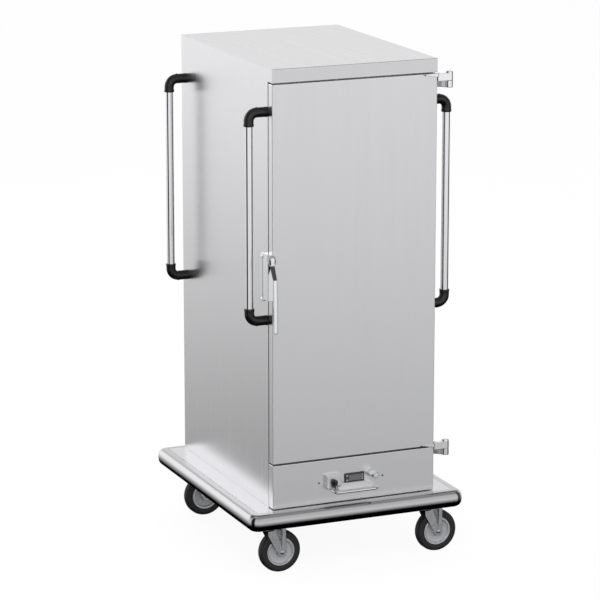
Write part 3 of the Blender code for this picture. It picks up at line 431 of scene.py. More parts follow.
# ---- repeated parts -----------------------------------------------------------------------------
def repeat_tree():
    """Geometry nodes that set copies of a part in rows and columns."""
    tree = bpy.data.node_groups.new("rows_and_columns", "GeometryNodeTree")
    face = tree.interface
    for label, kind in (("Part", "NodeSocketObject"), ("Columns", "NodeSocketInt"),
                        ("Rows", "NodeSocketInt"),
                        ("Column Step", "NodeSocketVector"), ("Row Step", "NodeSocketVector"),
                        ("Start", "NodeSocketVector"), ("Finish", "NodeSocketMaterial")):
        face.new_socket(label, in_out="INPUT", socket_type=kind)
    face.new_socket("Geometry", in_out="OUTPUT", socket_type="NodeSocketGeometry")
    given = add_node(tree, "NodeGroupInput")
    columns = add_node(tree, "GeometryNodeMeshLine", {"mode": "OFFSET"},
                       {"Count": (given, "Columns"), "Start Location": (given, "Start"),
                        "Offset": (given, "Column Step")})
    rows = add_node(tree, "GeometryNodeMeshLine", {"mode": "OFFSET"}, {"Count": (given, "Rows"),
                                                                       "Offset": (given, "Row Step")})
    grid = add_node(tree, "GeometryNodeInstanceOnPoints", {}, {"Points": (columns, "Mesh"),
                                                               "Instance": (rows, "Mesh")})
    spots = add_node(tree, "GeometryNodeRealizeInstances", {}, {"Geometry": (grid, "Instances")})
    part = add_node(tree, "GeometryNodeObjectInfo", {}, {"Object": (given, "Part")})
    copies = add_node(tree, "GeometryNodeInstanceOnPoints", {}, {"Points": (spots, "Geometry"),
                                                                 "Instance": (part, "Geometry")})
    whole = add_node(tree, "GeometryNodeRealizeInstances", {}, {"Geometry": (copies, "Instances")})
    joined = add_node(tree, "GeometryNodeMergeByDistance", {"Distance": WELD},
                      {"Geometry": (whole, "Geometry")})
    finish = add_node(tree, "GeometryNodeSetMaterial", {}, {"Geometry": (joined, "Geometry"),
                                                            "Material": (given, "Finish")})
    add_node(tree, "NodeGroupOutput", {}, {"Geometry": (finish, "Geometry")})
    return tree


def fastener_tree():
    """Geometry nodes that set a fastener on each point, turned to face out along its direction."""
    tree = bpy.data.node_groups.new("fasteners_on_points", "GeometryNodeTree")
    face = tree.interface
    for label, kind in (("Points", "NodeSocketGeometry"), ("Part", "NodeSocketObject"),
                        ("Turn Spread", "NodeSocketFloat"), ("Finish", "NodeSocketMaterial")):
        face.new_socket(label, in_out="INPUT", socket_type=kind)
    face.new_socket("Geometry", in_out="OUTPUT", socket_type="NodeSocketGeometry")
    given = add_node(tree, "NodeGroupInput")
    way = add_node(tree, "GeometryNodeInputNamedAttribute", {"data_type": "FLOAT_VECTOR", "Name": "facing"})
    turned = add_node(tree, "FunctionNodeAlignRotationToVector", {"axis": "Z"},
                      {"Vector": (way, "Attribute")})
    spin = add_node(tree, "FunctionNodeRandomValue", {"data_type": "FLOAT", "Seed": 7},
                    {"Max": (given, "Turn Spread")})
    about = add_node(tree, "FunctionNodeAxisAngleToRotation", {"Axis": (0, 0, 1)},
                     {"Angle": (spin, "Value")})
    both = add_node(tree, "FunctionNodeRotateRotation", {"rotation_space": "LOCAL"},
                    {"Rotation": (turned, "Rotation"), "Rotate By": (about, "Rotation")})
    part = add_node(tree, "GeometryNodeObjectInfo", {}, {"Object": (given, "Part")})
    copies = add_node(tree, "GeometryNodeInstanceOnPoints", {}, {"Points": (given, "Points"),
                                                                 "Instance": (part, "Geometry"),
                                                                 "Rotation": (both, "Rotation")})
    whole = add_node(tree, "GeometryNodeRealizeInstances", {}, {"Geometry": (copies, "Instances")})
    finish = add_node(tree, "GeometryNodeSetMaterial", {}, {"Geometry": (whole, "Geometry"),
                                                            "Material": (given, "Finish")})
    add_node(tree, "NodeGroupOutput", {}, {"Geometry": (finish, "Geometry")})
    return tree


TREES = {}


def grown(name, base, tree, values, finish, body):
    """Run a tree on a base mesh and keep its result as a plain finished piece."""
    holder = bpy.data.objects.new(name + "_base", base)
    bpy.context.scene.collection.objects.link(holder)
    change = holder.modifiers.new("grow", "NODES")
    change.node_group = tree
    sockets = {item.name: item.identifier for item in tree.interface.items_tree if item.in_out == "INPUT"}
    for label, value in {**values, "Finish": FINISHES[finish]}.items():
        change[sockets[label]] = value
    graph = bpy.context.evaluated_depsgraph_get()
    mesh = bpy.data.meshes.new_from_object(holder.evaluated_get(graph), depsgraph=graph)
    bpy.data.objects.remove(holder)
    bpy.data.objects.remove(values["Part"])
    if not mesh.polygons:
        raise RuntimeError(f"{name} came out empty")
    mesh.name = name
    mesh.shade_smooth()
    mesh.set_sharp_from_angle(angle=radians(35))
    piece = bpy.data.objects.new(name, mesh)
    bpy.context.scene.collection.objects.link(piece)
    return dress(piece, body)


def loose_part(name, shape):
    """A part for the trees to copy, standing at the origin."""
    mesh = bpy.data.meshes.new(name)
    bmesh.ops.remove_doubles(shape.bm, verts=shape.bm.verts, dist=WELD)
    bmesh.ops.recalc_face_normals(shape.bm, faces=shape.bm.faces)
    shape.bm.to_mesh(mesh)
    shape.bm.free()
    part = bpy.data.objects.new(name, mesh)
    bpy.context.scene.collection.objects.link(part)
    return part


def grid_of(name, part, finish, counts, steps, start):
    """Set copies of a part on the cabinet in rows and columns."""
    values = {"Part": part, "Columns": counts[0], "Rows": counts[1], "Column Step": steps[0],
              "Row Step": steps[1], "Start": start}
    return grown(name, bpy.data.meshes.new(name + "_grid"), TREES["repeat"], values, finish, "cabinet")


def fasteners(name, part, finish, places, body, spread=2 * pi):
    """Set fasteners at (position, direction) places."""
    base = bpy.data.meshes.new(name + "_points")
    base.from_pydata([spot for spot, _ in places], [], [])
    facing = base.attributes.new("facing", "FLOAT_VECTOR", "POINT")
    facing.data.foreach_set("vector", [value for _, way in places for value in way])
    values = {"Part": part, "Turn Spread": spread}
    return grown(name, base, TREES["fasteners"], values, finish, body)


def button_screw(radius, height):
    """A domed screw head with a socket, on the ground and facing up."""
    socket = radius * 0.42
    dome = [(radius, 0.0), (radius * 0.98, height * 0.35), (radius * 0.8, height * 0.8), (socket, height),
            (socket, height * 0.35), (0, height * 0.3)]
    return loose_part("button_screw", Shape().lathe([(0, 0)] + dome, (0, 0, 0), "z", steps=18))


def hex_bolt(radius, height, washer):
    """A bolt head over a washer."""
    shape = Shape().lathe([(0, 0), (washer, 0), (washer, height * 0.22), (0, height * 0.22)], (0, 0, 0),
                          "z", steps=20)
    shape.lathe([(0, height * 0.2), (radius, height * 0.22), (radius, height * 0.9),
                 (radius * 0.86, height), (0, height)], (0, 0, 0), "z", steps=6)
    return loose_part("hex_bolt", shape)


# ---- places read from the frame ---------------------------------------------------------------
SKIN_LOW, SKIN_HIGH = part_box("door_skin")
CASE_LOW, CASE_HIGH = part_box("outer_casing")
ROOF_LOW, ROOF_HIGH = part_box("top_cover")
DECK_LOW, DECK_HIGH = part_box("deck_plate")
RIM_LOW, RIM_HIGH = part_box("bumper_rim")
LINER_LOW, LINER_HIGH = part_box("inner_liner")
PANEL_LOW, PANEL_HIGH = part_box("control_panel")
RACK_LOW, RACK_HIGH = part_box("rack_left")
FACE, BACK = SKIN_LOW.y, CASE_HIGH.y
HALF_WIDTH = SKIN_HIGH.x
DECK, TOP = DECK_HIGH.z, ROOF_HIGH.z
BODY = LINER_LOW.y
GAP = 0.3 * MM
DOOR_BACK = SKIN_HIGH.y


def joint_place(name):
    return Vector(next(j for j in frame["joints"] if j["name"] == name)["pos_m"])


class BuildStep:
    """What every operator here shares."""
    bl_options = {"REGISTER"}


class PROOFER_OT_finishes(BuildStep, bpy.types.Operator):
    """Make the materials and the node trees that the pieces share"""
    bl_idname = "proofer.finishes"
    bl_label = "Finishes"

    def execute(self, context):
        make_finishes(context.scene.proofer_sheet, context.scene.proofer_colours)
        TREES["repeat"] = repeat_tree()
        TREES["fasteners"] = fastener_tree()
        return {"FINISHED"}


class PROOFER_OT_casing(BuildStep, bpy.types.Operator):
    """Build the wrapped casing and the roof with its fascia"""
    bl_idname = "proofer.casing"
    bl_label = "Casing"

    def execute(self, context):
        sheet = context.scene.proofer_sheet
        bend = sheet.bend_radius
        cap = ROOF_LOW.z
        shape = Shape()
        new = shape.bm.verts.new
        low, high = CASE_LOW.z, CASE_HIGH.z
        sides = []
        for side in (-1, 1):
            x = side * HALF_WIDTH
            back_low, back_high = new((x, BACK - bend, low)), new((x, BACK - bend, high))
            step = [new((x, CASE_LOW.y, high)), new((x, CASE_LOW.y, cap)), new((x, BODY, cap)),
                    new((x, BODY, low))]
            shape.bm.faces.new([back_low, back_high, *step])
            rows = [[back_low, back_high]]
            for a, b in arc((side * (HALF_WIDTH - bend), BACK - bend), bend, 0 if side > 0 else 180, 90,
                            5)[1:]:
                rows.append([new((a, b, low)), new((a, b, high))])
            shape.skin(rows)
            sides.append(rows[-1])
        shape.bm.faces.new([sides[0][0], sides[0][1], sides[1][1], sides[1][0]])
        make("casing_wrap", shape, "upright_sheet", "cabinet", ["outer_casing"], sheet=sheet.casing_sheet)

        profile = [(BACK, TOP)] + arc((FACE + bend, TOP - bend), bend, 90, 180, 5)
        profile += arc((FACE + 1.5 * MM, cap + 1.5 * MM), 1.5 * MM, 180, 270, 3) + [(BODY - GAP, cap)]
        roof = Shape()
        ends = [[roof.bm.verts.new((x, y, z)) for y, z in profile] for x in (-HALF_WIDTH, HALF_WIDTH)]
        roof.skin(ends)
        make("roof_and_fascia", roof, "level_sheet", "cabinet", ["top_cover"], sheet=sheet.casing_sheet,
             bevel=sheet.edge_break)
        self.service_cover(sheet)
        return {"FINISHED"}

    def service_cover(self, sheet):
        """A screwed and louvred cover over the climate compartment, low on the back."""
        half, low, high = 0.240, DECK + 25 * MM, DECK + 150 * MM
        plate = Shape().block((-half, BACK + GAP, low), (half, BACK + GAP + sheet.door_sheet, high),
                              0.4 * MM, 2)
        make("service_cover", plate, "upright_sheet", "cabinet")
        face = BACK + GAP + sheet.door_sheet
        louvre = Shape()
        width, tall, proud = 45 * MM, 5 * MM, 4 * MM
        hood = [(0, 0), (proud, 0), (proud * 0.93, tall * 0.35), (proud * 0.62, tall * 0.75), (0, tall)]
        louvre.plate([(y - 0.1 * MM, z) for y, z in hood], "x", -width / 2, width / 2)
        grid_of("cover_louvres", loose_part("louvre", louvre), "upright_sheet", (6, 6),
                ((0.064, 0, 0), (0, 0, 0.014)), (-0.160, face, low + 0.028))
        spots = [((x, face, z), (0, 1, 0)) for z in (low + 8 * MM, high - 8 * MM)
                 for x in (-half + 10 * MM, 0, half - 10 * MM)]
        fasteners("cover_screws", button_screw(3.6 * MM, 2.0 * MM), "bright_steel", spots, "cabinet")


class PROOFER_OT_door(BuildStep, bpy.types.Operator):
    """Build the door: its folded skin, inner panel, bellows gasket and screws"""
    bl_idname = "proofer.door"
    bl_label = "Door"

    def execute(self, context):
        sheet = context.scene.proofer_sheet
        skin = Shape().block(SKIN_LOW, SKIN_HIGH)
        skin.fold_open(lambda middle: middle.y > DOOR_BACK - MM, sheet.bend_radius, 5)
        make("door_outer_skin", skin, "upright_sheet", "door", ["door_skin"], sheet=sheet.door_sheet)

        low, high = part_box("door_liner")
        panel = Shape().block((low.x, low.y, low.z), high, 0.3 * MM, 2)
        inset, raise_by = 0.060, 4 * MM
        panel.frame_ring([(inset, high.y - 0.2 * MM), (inset + 5 * MM, high.y + raise_by),
                          (inset + 0.020, high.y + raise_by), (inset + 0.025, high.y - 0.2 * MM)],
                         (low.x, low.z), (high.x, high.z), "y", corner=0.075, steps=6)
        make("door_inner_panel", panel, "upright_sheet", "door", ["door_liner"], smooth=50, bevel=0.6 * MM,
             segments=2)
        spots = [((x, high.y, z), (0, 1, 0)) for x in (low.x + 0.034, high.x - 0.034)
                 for z in [low.z + 0.040 + (high.z - low.z - 0.080) * k / 7 for k in range(8)]]
        spots += [((x, high.y, z), (0, 1, 0)) for z in (low.z + 0.034, high.z - 0.034)
                  for x in (-0.15, 0.0, 0.15)]
        fasteners("door_panel_screws", button_screw(3.4 * MM, 1.8 * MM), "bright_steel", spots, "door")

        low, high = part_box("door_gasket")
        thick = high.y - low.y
        lip = [(0.0, 0.0), (0.0, 0.35), (1.0, 0.55), (1.0, 0.8), (3.0, 1.0), (9.0, 1.0), (10.5, 0.55),
               (12.0, 1.0), (17.0, 1.0), (19.0, 0.8), (19.0, 0.55), (20.0, 0.35), (20.0, 0.0)]
        seal = Shape().frame_ring([(u * MM, low.y + v * thick) for u, v in lip], (low.x, low.z),
                                  (high.x, high.z), "y")
        make("door_seal", seal, "gasket", "door", ["door_gasket"], smooth=50)
        coat("door_insulation", "foam")
        return {"FINISHED"}


class PROOFER_OT_chamber(BuildStep, bpy.types.Operator):
    """Build the liner tub, the tray ledges and the floor grille"""
    bl_idname = "proofer.chamber"
    bl_label = "Chamber"

    def execute(self, context):
        sheet, chamber = context.scene.proofer_sheet, context.scene.proofer_chamber
        wall = sheet.door_sheet
        rack_wall = abs(RACK_LOW.x) + GAP
        floor, ceiling = RACK_LOW.z - GAP, SKIN_HIGH.z - 0.040
        back = LINER_HIGH.y - wall
        tub = Shape().block((-rack_wall, BODY, floor), (rack_wall, back, ceiling))
        mouth = [f for f in tub.bm.faces if f.calc_center_median().y < BODY + MM]
        bmesh.ops.delete(tub.bm, geom=mouth, context="FACES")
        deep = [e for e in tub.bm.edges if all(v.co.y > back - MM for v in e.verts)]
        bmesh.ops.bevel(tub.bm, geom=deep, offset=0.012, segments=5, profile=0.5, affect="EDGES")
        bmesh.ops.recalc_face_normals(tub.bm, faces=tub.bm.faces)
        lined = bpy.data.meshes.new("tub")
        tub.bm.to_mesh(lined)
        shell = bpy.data.objects.new("tub", lined)
        bpy.context.scene.collection.objects.link(shell)
        grow = shell.modifiers.new("sheet", "SOLIDIFY")
        grow.thickness, grow.offset, grow.use_even_offset = wall, 1, True
        graph = bpy.context.evaluated_depsgraph_get()
        solid = bpy.data.meshes.new_from_object(shell.evaluated_get(graph), depsgraph=graph)
        whole = Shape()
        whole.bm.from_mesh(solid)
        bpy.data.objects.remove(shell)
        tub.bm.free()
        half, low, high = LINER_HIGH.x, LINER_LOW.z, LINER_HIGH.z
        whole.block((-half, BODY, low), (half, BODY + wall, floor), 0.2 * MM, 1)
        whole.block((-half, BODY, ceiling), (half, BODY + wall, high), 0.2 * MM, 1)
        for side in (-1, 1):
            near, far = sorted((side * rack_wall, side * half))
            whole.block((near, BODY, floor), (far, BODY + wall, ceiling), 0.2 * MM, 1)
        make("chamber_liner", whole, "upright_sheet", "cabinet", ["inner_liner"])

        pitch = (RACK_HIGH.z - RACK_LOW.z) / chamber.levels
        roll = chamber.ledge_roll
        for side, node in ((-1, "rack_left"), (1, "rack_right")):
            low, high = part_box(node)
            tip = low.x if side > 0 else high.x
            root = high.x if side > 0 else low.x
            web = Shape().block((min(root, root - side * 2 * MM), low.y, low.z),
                                (max(root, root - side * 2 * MM), high.y, high.z), 0.4 * MM, 2)
            make(node + "_web", web, "upright_sheet", "cabinet", [node])
            ledge = Shape()
            inner, outer = root - side * 1.8 * MM, tip + side * roll
            section = [(inner, 0.0), (outer, 0.0)]
            section += [(outer - side * (roll * sin(a)), -roll + roll * cos(a))
                        for a in (pi * k / 6 for k in range(1, 7))][:4]
            section += [(outer, -2 * MM), (inner, -2 * MM)]
            section = [(x, 2 * MM + z) for x, z in section]
            ledge.plate(section, "y", low.y, high.y)
            ledge.block((min(tip, root), high.y - 3 * MM, 1.5 * MM), (max(tip, root), high.y, 12 * MM),
                        0.4 * MM, 2)
            grid_of(node + "_ledges", loose_part("ledge", ledge), "upright_sheet", (1, chamber.levels),
                    ((0, 0, 0), (0, 0, pitch)), (0, 0, low.z + pitch / 2))
            spots = [((root - side * 2 * MM, y, low.z + pitch * (k + 0.95)), (-side, 0, 0))
                     for y in (low.y + 0.030, high.y - 0.030) for k in (0, 5, 10)]
            fasteners(node + "_screws", button_screw(4 * MM, 2.2 * MM), "bright_steel", spots, "cabinet")
        self.grille(chamber, floor, back)
        coat("wall_insulation", "foam")
        return {"FINISHED"}

    def grille(self, chamber, floor, back):
        """A perforated plate in the chamber's floor, over a thin dark sheet that is painted shade seen
        through its holes.
        """
        pitch, hole, thick = chamber.grille_pitch, chamber.grille_hole, 1.2 * MM
        cell = Shape()
        steps = 12
        square = []
        turns = [radians(360 / steps * k + 45) for k in range(steps)]
        for angle in turns:
            reach = pitch / 2 / max(abs(cos(angle)), abs(sin(angle)))
            square.append((reach * cos(angle), reach * sin(angle)))
        circle = [(hole / 2 * cos(angle), hole / 2 * sin(angle)) for angle in turns]
        rows = [[cell.bm.verts.new((x, y, z)) for x, y in loop]
                for loop, z in ((square, thick), (circle, thick), (circle, 0.0))]
        cell.skin(rows, closed_across=True)
        columns, lines = 30, 16
        width, depth = columns * pitch, lines * pitch
        rear, lift, rim = back - 0.055, 0.2 * MM, 0.012
        top = floor + lift + thick
        start = (-width / 2 + pitch / 2, rear - depth + pitch / 2, floor + lift)
        grid_of("floor_grille", loose_part("air_hole", cell), "level_sheet", (columns, lines),
                ((pitch, 0, 0), (0, pitch, 0)), start)
        low = (-width / 2, rear - depth)
        edge = Shape().frame_ring([(0, floor + lift), (0, top), (-rim, top), (-rim, floor + lift)], low,
                                  (width / 2, rear), "z")
        make("floor_grille_edge", edge, "level_sheet", "cabinet", bevel=0.3 * MM, segments=2)
        # a thin dark sheet just under the grille: painted shade in the holes, where an open air port would
        # look dark
        dark = Shape().block((-width / 2, low[1], floor + 0.05 * MM), (width / 2, rear, floor + 0.15 * MM))
        make("floor_air_port", dark, "gasket", "cabinet")


class PROOFER_OT_climate(BuildStep, bpy.types.Operator):
    """Build the fan, heater and water pan in the compartment under the chamber"""
    bl_idname = "proofer.climate"
    bl_label = "Climate unit"

    def execute(self, context):
        low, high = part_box("fan_motor")
        axis = joint_place("fan_spin")
        body_top = DECK + 0.062
        motor = Shape()
        case_radius, rib_radius = 0.043, 0.045
        ribs = [(0, low.z)]
        rings = 8
        for k in range(rings):
            z = low.z + (body_top - low.z) * k / rings
            ribs += [(case_radius, z), (rib_radius, z + MM), (rib_radius, z + 5 * MM),
                     (case_radius, z + 6 * MM)]
        motor.lathe(ribs + [(case_radius, body_top), (0, body_top)], (axis.x, axis.y, 0), "z", 40)
        motor.bar([(axis.x, axis.y, body_top - MM), (axis.x, axis.y, high.z)], 4 * MM, 16)
        make("fan_motor_case", motor, "black_plastic", "cabinet", ["fan_motor"])
        rotor_low, rotor_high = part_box("fan_rotor")
        wheel = Shape()
        shaft_hole, hub_radius, wheel_radius, disc = 4.6 * MM, 0.016, 0.072, 1.2 * MM
        low_z, high_z = rotor_low.z, rotor_high.z
        wheel.lathe([(shaft_hole, low_z), (hub_radius, low_z), (hub_radius, high_z), (shaft_hole, high_z)],
                    (axis.x, axis.y, 0), "z", 32)
        wheel.lathe([(hub_radius - MM, low_z), (wheel_radius, low_z), (wheel_radius, low_z + disc),
                     (hub_radius - MM, low_z + disc)], (axis.x, axis.y, 0), "z", 48)
        blades = 16
        for k in range(blades):
            angle = 2 * pi * k / blades
            bent = [(0.030, 0.0), (0.042, 0.08), (0.056, 0.20), (0.071, 0.36)]
            outer = [(axis.x + r * cos(angle + t), axis.y + r * sin(angle + t)) for r, t in bent]
            inner = [(axis.x + (r - MM) * cos(angle + t + 0.02), axis.y + (r - MM) * sin(angle + t + 0.02))
                     for r, t in reversed(bent)]
            wheel.plate(outer + inner, "z", rotor_low.z + MM, rotor_high.z)
        make("fan_impeller", wheel, "zinc", "fan_rotor", ["fan_rotor"])

        low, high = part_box("heating_element")
        y = (low.y + high.y) / 2
        radius = 4.5 * MM
        foot, down, up, half = low.z, DECK + 0.030, DECK + 0.120, 0.125
        bends = [(-half, y, foot)]
        passes = 5
        apart = 2 * half / passes
        for column in range(passes):
            x = -half + apart * column
            level = up if column % 2 == 0 else down
            bends += [(x, y, level), (x + apart, y, level)]
        bends.append((half, y, foot))
        make("heater_rod", Shape().bar(rounded(bends, 0.018, 8), radius, 16), "chrome", "cabinet",
             ["heating_element"])
        low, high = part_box("water_pan")
        pan = Shape().block(low, high)
        pan.fold_open(lambda middle: middle.z > high.z - MM, 0.014, 5)
        make("steam_pan", pan, "level_sheet", "cabinet", ["water_pan"], sheet=1.2 * MM)
        return {"FINISHED"}


class PROOFER_OT_hinges(BuildStep, bpy.types.Operator):
    """Build both lift-off hinges with their straps, pins and pads"""
    bl_idname = "proofer.hinges"
    bl_label = "Hinges"

    def execute(self, context):
        pivot = joint_place("door_hinge")
        knuckle = 14 * MM
        for end in ("top", "bottom"):
            low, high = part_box("hinge_bracket_" + end)
            leaf_low, leaf_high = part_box("hinge_leaf_" + end)
            side, foot_front, foot_back = HALF_WIDTH + GAP, BODY + 4 * MM, BODY + 46 * MM
            crown = leaf_low.z - GAP
            arm = [(side, foot_back), (side, foot_front)]
            arm += arc((pivot.x, pivot.y), knuckle, 180, 360, 20)
            arm += arc((pivot.x, pivot.y), knuckle, 0, 45, 6)[1:] + [(side + 12 * MM, foot_back)]
            bracket = Shape().plate(arm, "z", low.z, crown)
            make(f"hinge_{end}_bracket", bracket, "bright_steel", "cabinet", ["hinge_bracket_" + end],
                 bevel=1.6 * MM)
            pin = Shape().bar([(pivot.x, pivot.y, low.z + 2 * MM), (pivot.x, pivot.y, high.z)], 5 * MM, 24)
            make(f"hinge_{end}_pin", pin, "bright_steel", "cabinet")
            pad = Shape().block((side - 0.1 * MM, foot_front - MM, low.z - MM),
                                (side + 4 * MM, foot_back + MM, crown + 0.2 * MM), 0.8 * MM, 2)
            make(f"hinge_{end}_pad", pad, "black_plastic", "cabinet")

            near = HALF_WIDTH + MM
            bar_high = leaf_high.z - 6 * MM
            bar = [(near, pivot.y - knuckle), (pivot.x, pivot.y - knuckle)]
            bar += arc((pivot.x, pivot.y), knuckle, -75, 150, 20) + [(near, pivot.y + 6 * MM)]
            leaf = Shape().plate(bar, "z", leaf_low.z, bar_high)
            strap_low = SKIN_HIGH.z - 15 * MM if end == "top" else SKIN_LOW.z - 6 * MM
            strap_high = strap_low + 14 * MM
            strap = [(near + 4 * MM, strap_low), (near + 4 * MM, strap_high),
                     (HALF_WIDTH - 0.060, strap_high), (HALF_WIDTH - 0.060, strap_high - 2 * MM)]
            leaf.plate(strap, "y", pivot.y - knuckle, FACE - 0.1 * MM)
            make(f"hinge_{end}_leaf", leaf, "bright_steel", "door", ["hinge_leaf_" + end], bevel=MM)
            barrel = Shape().lathe([(0, leaf_high.z - 0.4 * MM), (knuckle - 3 * MM, leaf_high.z),
                                    (knuckle - MM, leaf_high.z - MM), (knuckle - 0.5 * MM,
                                                                       leaf_high.z - 3 * MM),
                                    (knuckle - 0.5 * MM, bar_high - MM), (0, bar_high - MM)],
                                   (pivot.x, pivot.y, 0), "z", 40)
            make(f"hinge_{end}_barrel", barrel, "bright_steel", "door")
            spots = [((near + 8 * MM, pivot.y - 2 * MM, bar_high), (0, 0, 1))]
            spots += [((HALF_WIDTH - 50 * MM, pivot.y - knuckle, strap_high - 3.2 * MM), (0, -1, 0))]
            fasteners(f"hinge_{end}_screws", button_screw(2.6 * MM, 1.2 * MM), "black_oxide", spots, "door")
            spots = [((side + 12 * MM + 0.002, foot_back - 8 * MM, (low.z + crown) / 2), (1, 0.3, 0))]
            fasteners(f"hinge_{end}_foot_screw", button_screw(4 * MM, 2 * MM), "bright_steel", spots,
                      "cabinet")
        return {"FINISHED"}


class PROOFER_OT_latch(BuildStep, bpy.types.Operator):
    """Build the latch: its die-cast body and lever on the door and the keeper on the casing"""
    bl_idname = "proofer.latch"
    bl_label = "Latch"

    def execute(self, context):
        low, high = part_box("latch_body")
        pivot = joint_place("latch_lever_pull")
        front = FACE - 10 * MM
        body = Shape().block((low.x, front, low.z), (high.x, high.y, high.z - 2 * MM))
        ears = 2.5 * MM
        ear = [(front + 4 * MM, pivot.z - 18 * MM), (pivot.y - 8 * MM, pivot.z - 18 * MM)]
        ear += arc((pivot.y, pivot.z), 12 * MM, 200, 60, 10) + [(front + 4 * MM, high.z)]
        for near in (low.x, high.x - ears):
            body.plate(ear, "x", near, near + ears)
        make("latch_casting", body, "chrome", "door", ["latch_body"], bevel=1.2 * MM)
        axle = Shape().bar([(low.x + 0.2 * MM, pivot.y, pivot.z), (high.x - 0.2 * MM, pivot.y, pivot.z)],
                           4 * MM, 24)
        make("latch_axle", axle, "black_oxide", "door")

        arm_low, arm_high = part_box("latch_lever")
        y, z = pivot.y, pivot.z
        hub = arc((y, z), 10 * MM, 0, 180, 14)
        neck_low, grip_low = z - 73 * MM, arm_low.z
        hub += [(y - 10 * MM, z - 24 * MM), (y + 6 * MM, z - 26 * MM)]
        make("lever_hub", Shape().plate(hub, "x", arm_low.x, arm_high.x), "chrome", "latch_lever",
             ["latch_lever"], bevel=1.5 * MM)
        neck = [(y - 9 * MM, z - 22 * MM), (y - 33.5 * MM, neck_low), (y - 25.5 * MM, neck_low + 3 * MM),
                (y + 4 * MM, z - 25 * MM)]
        make("lever_neck", Shape().plate(neck, "x", arm_low.x + 0.8 * MM, arm_high.x - 0.8 * MM),
             "controller", "latch_lever", bevel=1.2 * MM)
        grip = Shape().plate([(y - 34 * MM, neck_low + 3 * MM), (y - 38 * MM, grip_low),
                              (y - 29 * MM, grip_low), (y - 25 * MM, neck_low + 3 * MM)], "x", arm_low.x,
                             arm_high.x)
        make("lever_grip", grip, "chrome", "latch_lever", bevel=3 * MM, segments=4)
        fasteners("lever_axle_cap", button_screw(3.2 * MM, 1.4 * MM), "chrome",
                  [((low.x, pivot.y, pivot.z), (-1, 0, 0))], "door")

        low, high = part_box("latch_keeper")
        keeper = Shape()
        keeper.block((high.x - 3 * MM, low.y, low.z), high, 0.9 * MM, 3)
        for z in (low.z, high.z - 12 * MM):
            keeper.block((low.x, low.y, z), (high.x - 2 * MM, low.y + 18 * MM, z + 12 * MM), 2.0 * MM, 4)
        make("keeper_plate", keeper, "chrome", "cabinet", ["latch_keeper"])
        roller_x, roller_y = high.x - 12 * MM, low.y + 9 * MM
        r = 5.5 * MM
        span = [(0, low.z + 11 * MM), (r - MM, low.z + 11 * MM), (r, low.z + 13 * MM),
                (r, high.z - 13 * MM), (r - MM, high.z - 11 * MM), (0, high.z - 11 * MM)]
        make("keeper_roller", Shape().lathe(span, (roller_x, roller_y, 0), "z", 32), "bright_steel",
             "cabinet")
        spots = [((high.x - 3 * MM, high.y - 12 * MM, z), (-1, 0, 0)) for z in (low.z + 25 * MM,
                                                                                (low.z + high.z) / 2,
                                                                                high.z - 25 * MM)]
        spots += [((roller_x, roller_y, low.z + MM), (0, 0, -1)), ((roller_x, roller_y, high.z - MM),
                                                                   (0, 0, 1))]
        fasteners("keeper_screws", button_screw(4 * MM, 1.6 * MM), "bright_steel", spots, "cabinet")
        return {"FINISHED"}


class PROOFER_OT_handles(BuildStep, bpy.types.Operator):
    """Build the four push handles: bright tubes in moulded elbows"""
    bl_idname = "proofer.handles"
    bl_label = "Handles"

    def execute(self, context):
        for corner in CORNERS:
            side = -1 if corner.startswith("left") else 1
            low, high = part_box("handle_tube_" + corner)
            x, y = (low.x + high.x) / 2, (low.y + high.y) / 2
            radius = (high.y - low.y) / 2
            tube = Shape().lathe([(0, low.z), (radius, low.z), (radius, high.z), (0, high.z)], (x, y, 0),
                                 "z", 64)
            make("push_tube_" + corner, tube, "bright_steel", "cabinet", ["handle_tube_" + corner])
            wall = side * (HALF_WIDTH + GAP)
            for end, away in (("lower", 1), ("upper", -1)):
                node = f"handle_elbow_{end}_{corner}"
                elbow_low, elbow_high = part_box(node)
                elbow = (elbow_high.y - elbow_low.y) / 2
                socket = (elbow_high.z if away > 0 else elbow_low.z)
                arm = (elbow_low.z + elbow) if away > 0 else (elbow_high.z - elbow)
                path = rounded([(wall, y, arm), (x, y, arm), (x, y, socket)], 0.030, 12)
                lip = path[-1] - Vector((0, 0, away * 1.2 * MM))
                foot = path[0] + Vector((side * 1.5 * MM, 0, 0))
                points = [path[0], foot, foot + Vector((side * 2 * MM, 0, 0)), *path[1:-1],
                          path[-1] - Vector((0, 0, away * 9 * MM)), path[-1] - Vector((0, 0,
                                                                                       away * 8 * MM)), lip,
                          path[-1]]
                slim = elbow - MM
                radii = [elbow, elbow, slim] + [slim] * (len(path) - 2) + [slim, elbow, elbow,
                                                                           elbow - 1.2 * MM]
                make(f"elbow_{end}_{corner}", Shape().bar(points, radii, 40), "black_plastic", "cabinet",
                     [node], smooth=50)
                fasteners(f"elbow_{end}_{corner}_screw", button_screw(3.4 * MM, 1.4 * MM), "black_oxide",
                          [((x - side * 0.030, y, arm + away * (-slim)), (0, 0, -away))], "cabinet")
        return {"FINISHED"}


FASCIA_BEND = 0.7       # the fascia's bends are this much tighter than the casing's


